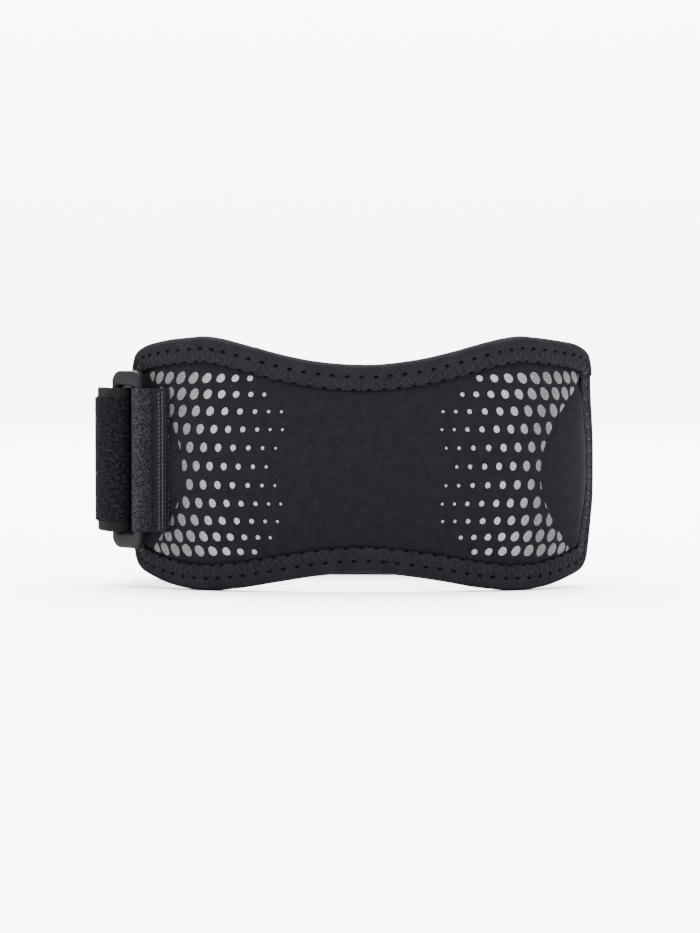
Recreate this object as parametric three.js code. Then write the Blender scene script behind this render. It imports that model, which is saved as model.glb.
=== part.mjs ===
// Patella strap: a butterfly-shaped pad with a bound edge, closed into a loop
// by a strap that turns round a moulded ring and fastens back on itself.
// Millimetres. +Z is up, +X runs along the pad's front and +Y towards the back of the loop.
import * as THREE from 'three';
import { mergeVertices } from 'three/addons/utils/BufferGeometryUtils.js';

// Fits
const clearance = 0.3;
const barClearance = 0.45;

// Pad
const padHalfLength = 78.4;
const padEndHeading = THREE.MathUtils.degToRad(78.5);
const padHeight = 69.8;
const waistTopDip = 7.7;
const waistBottomRise = 5.2;
const padThickness = 4.0;
const padEdgeThickness = 2.6;
const padRimMargin = 1.5;
const padEdgeFade = 4.0;
const padInnerRoom = 3.0;
const padColumns = 50;
const padColumnReach = 0.96;
const planSteps = 60;

// Binding
const bindingWidth = 7.0;
const bindingWall = 0.9;
const bindingBend = 1.6;
const bendShoulderInset = 0.48;
const bendShoulderLift = 0.2;
const bindingSections = 120;

// Ring
const slotHeight = 40.7;
const slotWidth = 6.8;
const ringBar = 2.4;
const ringArm = 4.3;
const ringThickness = 2.6;
const ringCorner = 3.2;
const slotCorner = 0.9;
const ringEdgeRound = 0.8;
const ringHeading = THREE.MathUtils.degToRad(43);
const ringBarAlong = 63.4;
const ringStandOff = 3.3;
const ringLift = 0.6;

// Tab
const tabHeight = 39.6;
const tabCloth = 0.8;
const tabEndAlong = 55.1;
const tabGrooveAlong = 61.0;
const tabWrapStart = 48;
const tabWrapEnd = 318;
const tabWrapSteps = 30;
const tabHoleSweep = 348;
const tabNeckSteps = 6;
const tabCornerPower = 2.6;

// Closure strap
const strapWidth = 40.0;
const strapBase = 1.2;
const strapPile = 0.8;
const strapMargin = 2.6;
const strapPileSlope = 0.5;
const strapSewnLength = 14.0;
const loopDepth = 64.0;
const loopBackShift = -4.0;
const loopRoundness = 0.56;
const entryTurn = 7.4;
const entryRoundness = 0.28;
const foldOverlap = 78.0;
const legMergeLength = 9.0;
const strapLean = THREE.MathUtils.degToRad(8);
const levelShare = 0.25;
const restShare = 0.2;
const strapStep = 3.4;
const entryStep = 1.9;
const stationGap = 1.0;
const foldSteps = 10;

// Hook patch
const hookLength = 42.0;
const hookEndMargin = 2.0;
const hookThickness = 1.0;
const hookHeight = 34.0;

// Heights below this are pressed flat on the surface that the strap stands on.
const pressedFlat = 0.15;

// Right half of the pad's outline, from the top of the waist to the bottom of the waist.
// along: share of padHalfLength, up: share of padHeight,
// dip: share of waistTopDip taken off, rise: share of waistBottomRise added.
const outlineRows = [
  { along: 0.0, up: 1.0, dip: 1.0, rise: 0 },
  { along: 0.1, up: 1.0, dip: 0.955, rise: 0 },
  { along: 0.2, up: 1.0, dip: 0.82, rise: 0 },
  { along: 0.3, up: 1.0, dip: 0.6, rise: 0 },
  { along: 0.4, up: 1.0, dip: 0.33, rise: 0 },
  { along: 0.5, up: 1.0, dip: 0.085, rise: 0 },
  { along: 0.57, up: 1.0, dip: 0, rise: 0 },
  { along: 0.63, up: 0.996, dip: 0, rise: 0 },
  { along: 0.7, up: 0.989, dip: 0, rise: 0 },
  { along: 0.77, up: 0.979, dip: 0, rise: 0 },
  { along: 0.835, up: 0.967, dip: 0, rise: 0 },
  { along: 0.878, up: 0.954, dip: 0, rise: 0 },
  { along: 0.904, up: 0.943, dip: 0, rise: 0 },
  { along: 0.926, up: 0.926, dip: 0, rise: 0 },
  { along: 0.941, up: 0.901, dip: 0, rise: 0 },
  { along: 0.952, up: 0.874, dip: 0, rise: 0 },
  { along: 0.956, up: 0.842, dip: 0, rise: 0 },
  { along: 0.957, up: 0.8, dip: 0, rise: 0 },
  { along: 0.965, up: 0.74, dip: 0, rise: 0 },
  { along: 0.981, up: 0.665, dip: 0, rise: 0 },
  { along: 0.995, up: 0.58, dip: 0, rise: 0 },
  { along: 1.0, up: 0.5, dip: 0, rise: 0 },
  { along: 1.0, up: 0.42, dip: 0, rise: 0 },
  { along: 0.991, up: 0.345, dip: 0, rise: 0 },
  { along: 0.972, up: 0.28, dip: 0, rise: 0 },
  { along: 0.953, up: 0.218, dip: 0, rise: 0 },
  { along: 0.938, up: 0.166, dip: 0, rise: 0 },
  { along: 0.931, up: 0.141, dip: 0, rise: 0 },
  { along: 0.922, up: 0.113, dip: 0, rise: 0 },
  { along: 0.905, up: 0.088, dip: 0, rise: 0 },
  { along: 0.884, up: 0.069, dip: 0, rise: 0 },
  { along: 0.859, up: 0.057, dip: 0, rise: 0 },
  { along: 0.78, up: 0.034, dip: 0, rise: 0 },
  { along: 0.72, up: 0.0185, dip: 0, rise: 0 },
  { along: 0.68, up: 0.0105, dip: 0, rise: 0 },
  { along: 0.65, up: 0.0055, dip: 0, rise: 0 },
  { along: 0.62, up: 0.002, dip: 0, rise: 0 },
  { along: 0.59, up: 0, dip: 0, rise: 0 },
  { along: 0.55, up: 0, dip: 0, rise: 0 },
  { along: 0.515, up: 0.0005, dip: 0, rise: 0 },
  { along: 0.48, up: 0, dip: 0, rise: 0.07 },
  { along: 0.4, up: 0, dip: 0, rise: 0.22 },
  { along: 0.3, up: 0, dip: 0, rise: 0.48 },
  { along: 0.2, up: 0, dip: 0, rise: 0.73 },
  { along: 0.1, up: 0, dip: 0, rise: 0.92 },
  { along: 0.0, up: 0, dip: 0, rise: 1.0 },
];

// Sizes that follow from the ones above
const strapThickness = strapBase + 2 * strapPile;
const bindingInner = padEdgeThickness / 2 + clearance;
const bindingOuter = bindingInner + bindingWall;
const strapBandCentre = padHeight / 2 + ringLift;
const strapLowEdge = strapBandCentre - strapWidth / 2;
const ringWidth = slotWidth + 2 * ringBar;
const ringHeight = slotHeight + 2 * ringArm;
const barSpacing = slotWidth + ringBar;
const foldRadius = ringThickness / 2 + barClearance + strapThickness / 2;
const legSpacing = strapThickness + hookThickness + 2 * clearance;

function fabric(color, roughness) {
  return new THREE.MeshStandardMaterial({ color, roughness, metalness: 0 });
}

// Closed solids from rings of points

// Triangles that fill a section and run round it the way its own points do
function capTriangles(section) {
  const turn = Math.sign(THREE.ShapeUtils.area(section));
  return THREE.ShapeUtils.triangulateShape(section, []).map(([a, b, c]) => {
    const same = Math.sign(THREE.ShapeUtils.area([section[a], section[b], section[c]])) === turn;
    return same ? [a, b, c] : [a, c, b];
  });
}

// Joins rings of equally many points. The first and last ring are closed by flat caps,
// unless the rings run round to the first one again.
function loft(rings, closed, capSection) {
  const count = rings[0].length;
  const positions = rings.flat().flatMap((p) => [p.x, p.y, p.z]);
  const index = [];
  const spans = closed ? rings.length : rings.length - 1;
  for (let i = 0; i < spans; i++) {
    const here = i * count;
    const next = ((i + 1) % rings.length) * count;
    for (let k = 0; k < count; k++) {
      const k2 = (k + 1) % count;
      index.push(here + k, here + k2, next + k2);
      index.push(here + k, next + k2, next + k);
    }
  }
  if (!closed) {
    const last = (rings.length - 1) * count;
    for (const [a, b, c] of capTriangles(capSection)) {
      index.push(a, c, b);
      index.push(last + a, last + b, last + c);
    }
  }
  const geometry = new THREE.BufferGeometry();
  geometry.setAttribute('position', new THREE.Float32BufferAttribute(positions, 3));
  geometry.setIndex(index);
  return facingOut(geometry);
}

function signedVolume(geometry) {
  const p = geometry.attributes.position;
  const index = geometry.index.array;
  const a = new THREE.Vector3();
  const b = new THREE.Vector3();
  const c = new THREE.Vector3();
  let volume = 0;
  for (let i = 0; i < index.length; i += 3) {
    a.fromBufferAttribute(p, index[i]);
    b.fromBufferAttribute(p, index[i + 1]);
    c.fromBufferAttribute(p, index[i + 2]);
    volume += a.dot(b.cross(c)) / 6;
  }
  return volume;
}

function facingOut(geometry) {
  if (signedVolume(geometry) < 0) {
    const index = geometry.index.array;
    for (let i = 0; i < index.length; i += 3) {
      [index[i + 1], index[i + 2]] = [index[i + 2], index[i + 1]];
    }
  }
  geometry.computeVertexNormals();
  return geometry;
}

function welded(geometry) {
  geometry.deleteAttribute('normal');
  geometry.deleteAttribute('uv');
  return facingOut(mergeVertices(geometry, 1e-3));
}

function mesh(name, geometry, material) {
  const made = new THREE.Mesh(geometry, material);
  made.name = name;
  return made;
}

// The pad's plan curve

// The outer face's heading grows with the square of the distance from the middle,
// so the front is nearly flat and the ends curl back.
function heading(along) {
  const share = along / padHalfLength;
  return padEndHeading * share * Math.abs(share);
}

function facePoint(along) {
  const step = along / planSteps;
  const point = new THREE.Vector2();
  for (let i = 0; i < planSteps; i++) {
    const turn = heading((i + 0.5) * step);
    point.x += Math.cos(turn) * step;
    point.y += Math.sin(turn) * step;
  }
  return point;
}

function faceOutward(along) {
  const turn = heading(along);
  return new THREE.Vector2(Math.sin(turn), -Math.cos(turn));
}

// A point on the pad: distance along the outer face, distance out from it, height.
function padPoint(along, out, up) {
  const plan = facePoint(along).addScaledVector(faceOutward(along), out);
  return new THREE.Vector3(plan.x, plan.y, up);
}

// The pad's outline, in distance along the face (x) and height (y)
function padOutline() {
  const right = outlineRows.map(({ along, up, dip, rise }) => new THREE.Vector3(
    along * padHalfLength,
    up * padHeight - dip * waistTopDip + rise * waistBottomRise,
    0,
  ));
  const left = right.slice(1, -1).reverse().map((p) => new THREE.Vector3(-p.x, p.y, 0));
  const curve = new THREE.CatmullRomCurve3([...right, ...left], true, 'centripetal');
  curve.arcLengthDivisions = 1200;
  return curve.getSpacedPoints(bindingSections).slice(0, -1).map((p) => new THREE.Vector2(
    p.x,
    p.y < pressedFlat ? 0 : p.y,
  ));
}

// Unit vectors that point into the pad, for an outline that runs clockwise
function inwardNormals(outline) {
  return outline.map((_, i) => {
    const before = outline[(i + outline.length - 1) % outline.length];
    const after = outline[(i + 1) % outline.length];
    const run = after.clone().sub(before).normalize();
    return new THREE.Vector2(run.y, -run.x);
  });
}

// Lowest and highest point of an outline at one distance along the face
function heightsAt(outline, along) {
  const crossings = [];
  outline.forEach((p, i) => {
    const q = outline[(i + 1) % outline.length];
    if ((p.x <= along) !== (q.x <= along)) {
      crossings.push(p.y + ((along - p.x) / (q.x - p.x)) * (q.y - p.y));
    }
  });
  return [Math.min(...crossings), Math.max(...crossings)];
}

function distanceToOutline(outline, point) {
  const nearest = new THREE.Vector3();
  const at = new THREE.Vector3(point.x, point.y, 0);
  const line = new THREE.Line3();
  return Math.min(...outline.map((p, i) => {
    const q = outline[(i + 1) % outline.length];
    line.start.set(p.x, p.y, 0);
    line.end.set(q.x, q.y, 0);
    return line.closestPointToPoint(at, true, nearest).distanceTo(at);
  }));
}

// Pad

function frontPad(outline, inward) {
  const inset = bindingWall + clearance;
  const edge = outline.map((p, i) => p.clone().addScaledVector(inward[i], inset));
  const halfLength = Math.max(...edge.map((p) => p.x));
  const rim = bindingWidth + padRimMargin;
  const rowDistances = [0, rim / 2, rim, rim + padEdgeFade / 2, rim + padEdgeFade];
  const reach = rim + padEdgeFade + padInnerRoom;
  const middle = -padThickness / 2;
  const rings = [];
  let section = [];
  for (let j = 0; j <= padColumns; j++) {
    const share = padColumnReach * ((2 * j) / padColumns - 1);
    const along = halfLength * Math.sin((share * Math.PI) / 2);
    const [low, high] = heightsAt(edge, along);
    const half = (high - low) / 2;
    const fit = Math.min(1, half / reach);
    const fromEdge = rowDistances.map((d) => d * fit);
    const innermost = fromEdge[fromEdge.length - 1];
    const inner = [0.25, 0.5, 0.75].map((f) => low + innermost + f * (high - low - 2 * innermost));
    const heights = [
      ...fromEdge.map((d) => low + d),
      ...inner,
      ...fromEdge.map((d) => high - d).reverse(),
    ];
    const profile = heights.map((up) => {
      const distance = distanceToOutline(outline, new THREE.Vector2(along, up));
      const full = THREE.MathUtils.smoothstep(distance, rim, rim + padEdgeFade);
      return { up, half: THREE.MathUtils.lerp(padEdgeThickness, padThickness, full) / 2 };
    });
    section = [
      ...profile.map(({ up, half: h }) => new THREE.Vector2(up, h)),
      ...profile.map(({ up, half: h }) => new THREE.Vector2(up, -h)).reverse(),
    ];
    rings.push(section.map((p) => padPoint(along, middle + p.y, p.x)));
  }
  return mesh('front_pad', loft(rings, false, section), fabric(0x28262d, 0.9));
}

// Binding

function edgeBinding(outline, inward) {
  // inset: distance in from the outline, out: distance from the pad's middle surface
  const flat = padEdgeThickness / 2;
  const shoulder = (flat + bindingOuter) / 2 + bendShoulderLift;
  const section = [
    { inset: bindingWidth, out: bindingOuter },
    { inset: bindingBend, out: bindingOuter },
    { inset: bendShoulderInset, out: shoulder },
    { inset: 0, out: flat },
    { inset: 0, out: -flat },
    { inset: bendShoulderInset, out: -shoulder },
    { inset: bindingBend, out: -bindingOuter },
    { inset: bindingWidth, out: -bindingOuter },
    { inset: bindingWidth, out: -bindingInner },
    { inset: bindingWall, out: -bindingInner },
    { inset: bindingWall, out: bindingInner },
    { inset: bindingWidth, out: bindingInner },
  ];
  const middle = -padThickness / 2;
  const rings = outline.map((p, i) => section.map(({ inset, out }) => {
    const at = p.clone().addScaledVector(inward[i], inset);
    return padPoint(at.x, middle + out, at.y);
  }));
  return mesh('edge_binding', loft(rings, true, []), fabric(0x302e35, 0.85));
}

// Ring

// Centre of the ring's near bar, which the tab holds, in plan
function nearBarCentre() {
  return facePoint(-ringBarAlong).addScaledVector(faceOutward(-ringBarAlong), ringStandOff);
}

// Unit vectors in plan: along the ring's face from its far bar to its near bar, and out of its face
const ringRight = new THREE.Vector2(Math.cos(ringHeading), -Math.sin(ringHeading));
const ringOut = new THREE.Vector2(-Math.sin(ringHeading), -Math.cos(ringHeading));

function farBarCentre() {
  return nearBarCentre().addScaledVector(ringRight, -barSpacing);
}

function roundedRectangle(path, width, height, radius) {
  const x = width / 2;
  const y = height / 2;
  path.moveTo(x, -y + radius);
  path.lineTo(x, y - radius);
  path.absarc(x - radius, y - radius, radius, 0, Math.PI / 2, false);
  path.lineTo(-x + radius, y);
  path.absarc(-x + radius, y - radius, radius, Math.PI / 2, Math.PI, false);
  path.lineTo(-x, -y + radius);
  path.absarc(-x + radius, -y + radius, radius, Math.PI, Math.PI * 1.5, false);
  path.lineTo(x - radius, -y);
  path.absarc(x - radius, -y + radius, radius, Math.PI * 1.5, Math.PI * 2, false);
  return path;
}

function buckleRing() {
  const round = ringEdgeRound;
  const plate = roundedRectangle(
    new THREE.Shape(), ringWidth - 2 * round, ringHeight - 2 * round, ringCorner - round,
  );
  plate.holes.push(roundedRectangle(
    new THREE.Path(), slotWidth + 2 * round, slotHeight + 2 * round, slotCorner + round,
  ));
  const geometry = new THREE.ExtrudeGeometry(plate, {
    depth: ringThickness - 2 * round,
    bevelThickness: round,
    bevelSize: round,
    bevelSegments: 3,
    curveSegments: 4,
  });
  geometry.translate(0, 0, round - ringThickness / 2);
  const made = mesh(
    'buckle_ring',
    welded(geometry),
    new THREE.MeshStandardMaterial({ color: 0x3a373d, roughness: 0.45, metalness: 0 }),
  );
  const centre = nearBarCentre().addScaledVector(ringRight, -barSpacing / 2);
  made.rotation.set(Math.PI / 2, 0, -ringHeading, 'ZXY');
  made.position.set(centre.x, centre.y, strapBandCentre);
  return made;
}

// Tab

// Points on a rounded rectangle round the near bar, from one angle to another, in plan
function roundBar(gap, from, to, steps) {
  const centre = nearBarCentre();
  const x = ringBar / 2 + gap;
  const y = ringThickness / 2 + gap;
  const points = [];
  for (let i = 0; i <= steps; i++) {
    const angle = THREE.MathUtils.degToRad(THREE.MathUtils.lerp(from, to, i / steps));
    const c = Math.cos(angle);
    const s = Math.sin(angle);
    const px = Math.sign(c) * x * Math.abs(c) ** (2 / tabCornerPower);
    const py = Math.sign(s) * y * Math.abs(s) ** (2 / tabCornerPower);
    points.push(centre.clone().addScaledVector(ringRight, px).addScaledVector(ringOut, py));
  }
  return points;
}

function ringTab() {
  const layer = (out) => {
    const points = [];
    for (let i = 0; i <= tabNeckSteps; i++) {
      const along = -THREE.MathUtils.lerp(tabEndAlong, tabGrooveAlong, i / tabNeckSteps);
      points.push(facePoint(along).addScaledVector(faceOutward(along), out));
    }
    return points;
  };
  const outline = [
    ...layer(clearance + 2 * tabCloth),
    ...roundBar(clearance + tabCloth, tabWrapStart, tabWrapEnd, tabWrapSteps),
    ...layer(clearance).reverse(),
  ];
  const shape = new THREE.Shape(outline);
  shape.holes.push(new THREE.Path(roundBar(clearance, tabHoleSweep, 0, tabWrapSteps - 1)));
  const geometry = new THREE.ExtrudeGeometry(shape, { depth: tabHeight, bevelEnabled: false });
  const made = mesh('ring_tab', welded(geometry), fabric(0x3b393f, 0.85));
  made.position.z = strapBandCentre - tabHeight / 2;
  return made;
}

// Closure strap

function planBezier(from, fromTurn, fromHandle, to, toTurn, toHandle) {
  const lead = new THREE.Vector2(Math.cos(fromTurn), Math.sin(fromTurn)).multiplyScalar(fromHandle);
  const trail = new THREE.Vector2(Math.cos(toTurn), Math.sin(toTurn)).multiplyScalar(-toHandle);
  return new THREE.CubicBezierCurve(from, from.clone().add(lead), to.clone().add(trail), to);
}

// Points along a plan curve, with the unit vectors that point out of the loop
function stations(curve, step) {
  const steps = Math.max(2, Math.round(curve.getLength() / step));
  return Array.from({ length: steps + 1 }, (_, i) => {
    const run = curve.getTangentAt(i / steps);
    return { plan: curve.getPointAt(i / steps), out: new THREE.Vector2(run.y, -run.x) };
  });
}

// The strap's inner leg: from the pad's right end round the back to the ring's far bar
function innerLeg() {
  const sewnOut = -padThickness / 2 - bindingOuter - clearance - strapThickness / 2;
  const sewn = [];
  const sewnSteps = Math.round(strapSewnLength / strapStep);
  for (let i = 0; i < sewnSteps; i++) {
    const along = padHalfLength - strapSewnLength * (1 - i / sewnSteps);
    const out = faceOutward(along);
    sewn.push({ plan: facePoint(along).addScaledVector(out, sewnOut), out });
  }
  const rightEnd = facePoint(padHalfLength).addScaledVector(faceOutward(padHalfLength), sewnOut);
  const back = new THREE.Vector2(loopBackShift, loopDepth);
  const rightSide = planBezier(
    rightEnd, padEndHeading, (back.y - rightEnd.y) * loopRoundness,
    back, Math.PI, (rightEnd.x - back.x) * loopRoundness,
  );
  const edge = (ringBar - ringThickness) / 2;
  const entry = farBarCentre().addScaledVector(ringRight, edge).addScaledVector(ringOut, -foldRadius);
  const widest = entry.clone().add(new THREE.Vector2(
    -entryTurn * (1 - Math.sin(ringHeading)),
    entryTurn * Math.cos(ringHeading),
  ));
  const leftSide = planBezier(
    back, Math.PI, (back.x - widest.x) * loopRoundness,
    widest, -Math.PI / 2, (back.y - widest.y) * loopRoundness,
  );
  const turnHandle = entryTurn * entryRoundness;
  const intoSlot = planBezier(widest, -Math.PI / 2, turnHandle, entry, -ringHeading, turnHandle);
  const first = [...sewn, ...stations(rightSide, strapStep)];
  const second = stations(leftSide, strapStep).slice(1);
  const third = stations(intoSlot, entryStep).slice(1);
  const leg = [...first, ...second, ...third];
  return settle(leg, first.length - 1);
}

// Gives each station its height and lean: level near the pad and the ring,
// and sunk to the surface at the back of the loop.
function settle(leg, backIndex) {
  let travelled = 0;
  leg.forEach((station, i) => {
    if (i > 0) {
      travelled += station.plan.distanceTo(leg[i - 1].plan);
    }
    station.travelled = travelled;
  });
  const total = travelled;
  const toBack = leg[backIndex].travelled;
  leg.forEach((station) => {
    const before = station.travelled <= toBack;
    const share = before ? station.travelled / toBack : (total - station.travelled) / (total - toBack);
    const sunk = THREE.MathUtils.smoothstep(share, levelShare, 1 - restShare);
    station.low = strapLowEdge * (1 - sunk);
    station.lean = Math.tan(strapLean) * sunk;
  });
  return leg;
}

// Half turn round the ring's far bar, from the inner leg to the outer leg
function fold(entry) {
  const centre = entry.plan.clone().addScaledVector(ringOut, foldRadius);
  const turn = [];
  for (let i = 1; i < foldSteps; i++) {
    const angle = (i / foldSteps) * Math.PI;
    const out = ringOut.clone().multiplyScalar(Math.cos(angle)).addScaledVector(ringRight, -Math.sin(angle));
    turn.push({ ...entry, plan: centre.clone().addScaledVector(out, -foldRadius), out });
  }
  return turn;
}

// The inner leg's stations from the ring back, moved out by a spacing, over a given stretch
function alongside(leg, from, to, spacing) {
  const total = leg[leg.length - 1].travelled;
  const distances = [from];
  leg.forEach(({ travelled }) => {
    const back = total - travelled;
    if (back > from + stationGap && back < to - stationGap) {
      distances.push(back);
    }
  });
  distances.push(to);
  distances.sort((a, b) => a - b);
  return distances.map((distance) => {
    const k = Math.max(1, leg.findIndex((s) => s.travelled >= total - distance - 1e-9));
    const a = leg[k - 1];
    const b = leg[k];
    const f = (total - distance - a.travelled) / (b.travelled - a.travelled);
    const out = a.out.clone().lerp(b.out, f).normalize();
    return {
      plan: a.plan.clone().lerp(b.plan, f).addScaledVector(out, spacing(distance)),
      out,
      low: THREE.MathUtils.lerp(a.low, b.low, f),
      lean: THREE.MathUtils.lerp(a.lean, b.lean, f),
    };
  });
}

// A band's rings: each section point stands out from the station and up from its low edge.
function bandRings(band, section, lift) {
  return band.map(({ plan, out, low, lean }) => section.map(({ x, y }) => {
    const at = plan.clone().addScaledVector(out, x + lean * (y + lift));
    return new THREE.Vector3(at.x, at.y, low + lift + y);
  }));
}

function strapSection() {
  const thin = strapBase / 2;
  const thick = thin + strapPile;
  const pileLow = strapMargin;
  const pileHigh = strapWidth - strapMargin;
  const outer = [
    [thin, 0],
    [thin, pileLow - strapPileSlope],
    [thick, pileLow],
    [thick, pileHigh],
    [thin, pileHigh + strapPileSlope],
    [thin, strapWidth],
  ];
  const inner = outer.map(([x, y]) => [-x, y]).reverse();
  return [...outer, ...inner].map(([x, y]) => new THREE.Vector2(x, y));
}

// Past the fold the strap's outer side is the one that lay inside the loop before it.
function turnedOver(station) {
  return { ...station, out: station.out.clone().negate(), lean: -station.lean };
}

function closureStrap(leg) {
  const spacing = (distance) => THREE.MathUtils.lerp(
    2 * foldRadius,
    legSpacing,
    THREE.MathUtils.smoothstep(distance, 0, legMergeLength),
  );
  const outer = alongside(leg, 0, foldOverlap, spacing);
  const path = [...leg, ...fold(leg[leg.length - 1]), ...outer.map(turnedOver)];
  const section = strapSection();
  return mesh('closure_strap', loft(bandRings(path, section, 0), false, section), fabric(0x2a282e, 0.95));
}

function hookPatch(leg) {
  const centre = strapThickness / 2 + clearance + hookThickness / 2;
  const to = foldOverlap - hookEndMargin;
  const band = alongside(leg, to - hookLength, to, () => centre);
  const half = hookThickness / 2;
  const section = [
    new THREE.Vector2(half, 0),
    new THREE.Vector2(half, hookHeight),
    new THREE.Vector2(-half, hookHeight),
    new THREE.Vector2(-half, 0),
  ];
  const rings = bandRings(band, section, (strapWidth - hookHeight) / 2);
  return mesh('hook_patch', loft(rings, false, section), fabric(0x222126, 0.8));
}

// Assembly

const outline = padOutline();
const inward = inwardNormals(outline);
const leg = innerLeg();

const strap = new THREE.Group();
strap.add(
  frontPad(outline, inward),
  edgeBinding(outline, inward),
  buckleRing(),
  ringTab(),
  closureStrap(leg),
  hookPatch(leg),
);

// The origin is the centre of the footprint, on the surface that the strap stands on.
const box = new THREE.Box3().setFromObject(strap, true);
const centre = box.getCenter(new THREE.Vector3());
strap.position.set(-centre.x, -centre.y, -box.min.z);

export default strap;
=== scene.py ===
"""Looks of a patella strap: bound pad with a halftone print, ring, tab and loop-pile strap."""
import math

import bpy
import numpy as np
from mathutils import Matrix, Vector


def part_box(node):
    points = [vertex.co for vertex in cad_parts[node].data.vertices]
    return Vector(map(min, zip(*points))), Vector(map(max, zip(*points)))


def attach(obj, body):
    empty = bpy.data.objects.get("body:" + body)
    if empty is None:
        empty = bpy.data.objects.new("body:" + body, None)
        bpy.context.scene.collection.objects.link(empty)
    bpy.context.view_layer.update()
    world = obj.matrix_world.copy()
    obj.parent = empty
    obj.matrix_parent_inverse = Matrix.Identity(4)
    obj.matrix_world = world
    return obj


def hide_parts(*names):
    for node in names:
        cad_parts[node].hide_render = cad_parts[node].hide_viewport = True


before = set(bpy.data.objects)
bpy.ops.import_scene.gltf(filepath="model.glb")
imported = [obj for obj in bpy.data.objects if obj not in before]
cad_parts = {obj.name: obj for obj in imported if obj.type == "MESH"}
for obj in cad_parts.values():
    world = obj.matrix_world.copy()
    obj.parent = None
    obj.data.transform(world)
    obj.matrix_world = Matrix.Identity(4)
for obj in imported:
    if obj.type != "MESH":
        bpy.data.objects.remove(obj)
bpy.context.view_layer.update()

# Lengths in this script are millimetres in the pad's own frame: x along the front from the
# pad's middle, y back from its outer face, z up. MM and SHIFT take them to the frame's metres.
MM = 0.001
SEED = 7

# Colours: how bright the dark goods are as a whole, and the casts of some pieces
GOODS_TONE = 0.6
RING_TINT = (1, 0.92, 1.16)
SELVEDGE_TINT = (1.05, 0.95, 1.1)
SILVER_STOPS = [
    (0.2, (0.016, 0.0155, 0.0175)), (0.4, (0.046, 0.045, 0.0475)), (0.8, (0.165, 0.162, 0.167)),
]

# Pad
CLEARANCE = 0.3
PAD_HALF = 78.4
PAD_END_HEADING = math.radians(78.5)
PAD_HEIGHT = 69.8
WAIST_DIP = 7.7
WAIST_RISE = 5.2
PAD_THICK = 4.0
PAD_EDGE_THICK = 2.6

# Binding
BIND_WIDTH = 7.0
BIND_WALL = 0.9
BIND_BEND = 1.6
BIND_INNER = PAD_EDGE_THICK / 2 + CLEARANCE
BIND_OUTER = BIND_INNER + BIND_WALL
STITCH_PITCH = 3.8
STITCH_OUTER = 3.45
STITCH_INNER = 6.75
THREAD = 0.15
STRAND_GAP = 0.38
# Size of the painted shade in each needle hole
HOLE_SHADE_ACROSS = 0.85
HOLE_SHADE_ALONG = 1.15

# Ring
SLOT_HEIGHT = 40.7
SLOT_WIDTH = 6.8
RING_BAR = 2.4
RING_ARM = 4.3
RING_THICK = 2.6
RING_CORNER = 3.2
SLOT_CORNER = 0.9
RING_EDGE_ROUND = 0.7
RING_HEADING = math.radians(43)
RING_BAR_ALONG = 63.4
RING_STAND_OFF = 3.3
RING_LIFT = 0.6
BAR_CLEARANCE = 0.45

# Tab
TAB_HEIGHT = 39.6
TAB_CLOTH = 0.8
TAB_END = 55.1
TAB_GROOVE = 61.0

# Closure strap and hook patch
STRAP_WIDTH = 40.0
STRAP_BASE = 1.2
STRAP_PILE = 0.8
STRAP_MARGIN = 2.6
STRAP_THICK = STRAP_BASE + 2 * STRAP_PILE
STRAP_SEWN = 14.0
LOOP_DEPTH = 64.0
LOOP_BACK_SHIFT = -4.0
ENTRY_TURN = 7.4
FOLD_OVERLAP = 78.0
LEG_MERGE = 9.0
STRAP_LEAN = math.radians(8)
LEVEL_SHARE = 0.25
REST_SHARE = 0.2
HOOK_LENGTH = 42.0
HOOK_END_MARGIN = 2.0
HOOK_THICK = 1.0
HOOK_HEIGHT = 34.0
HOOK_TAPE_OUT = 0.2
HOOK_WIRE = 0.09
HOOK_STEP = 2.2
HOOK_ROW_STEP = 1.9
BAND_CENTRE = PAD_HEIGHT / 2 + RING_LIFT
STRAP_LOW = BAND_CENTRE - STRAP_WIDTH / 2
FOLD_RADIUS = RING_THICK / 2 + BAR_CLEARANCE + STRAP_THICK / 2
LEG_SPACING = STRAP_THICK + HOOK_THICK + 2 * CLEARANCE

# Right half of the pad's outline: share of PAD_HALF, share of PAD_HEIGHT,
# share of WAIST_DIP taken off, share of WAIST_RISE added
OUTLINE_ROWS = [
    (0.0, 1.0, 1.0, 0), (0.1, 1.0, 0.955, 0), (0.2, 1.0, 0.82, 0), (0.3, 1.0, 0.6, 0),
    (0.4, 1.0, 0.33, 0), (0.5, 1.0, 0.085, 0), (0.57, 1.0, 0, 0), (0.63, 0.996, 0, 0),
    (0.7, 0.989, 0, 0), (0.77, 0.979, 0, 0), (0.835, 0.967, 0, 0), (0.878, 0.954, 0, 0),
    (0.904, 0.943, 0, 0), (0.926, 0.926, 0, 0), (0.941, 0.901, 0, 0), (0.952, 0.874, 0, 0),
    (0.956, 0.842, 0, 0), (0.957, 0.8, 0, 0), (0.965, 0.74, 0, 0), (0.981, 0.665, 0, 0),
    (0.995, 0.58, 0, 0), (1.0, 0.5, 0, 0), (1.0, 0.42, 0, 0), (0.991, 0.345, 0, 0),
    (0.972, 0.28, 0, 0), (0.953, 0.218, 0, 0), (0.938, 0.166, 0, 0), (0.931, 0.141, 0, 0),
    (0.922, 0.113, 0, 0), (0.905, 0.088, 0, 0), (0.884, 0.069, 0, 0), (0.859, 0.057, 0, 0),
    (0.78, 0.034, 0, 0), (0.72, 0.0185, 0, 0), (0.68, 0.0105, 0, 0), (0.65, 0.0055, 0, 0),
    (0.62, 0.002, 0, 0), (0.59, 0, 0, 0), (0.55, 0, 0, 0), (0.515, 0.0005, 0, 0),
    (0.48, 0, 0, 0.07), (0.4, 0, 0, 0.22), (0.3, 0, 0, 0.48), (0.2, 0, 0, 0.73),
    (0.1, 0, 0, 0.92), (0.0, 0, 0, 1.0),
]

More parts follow.
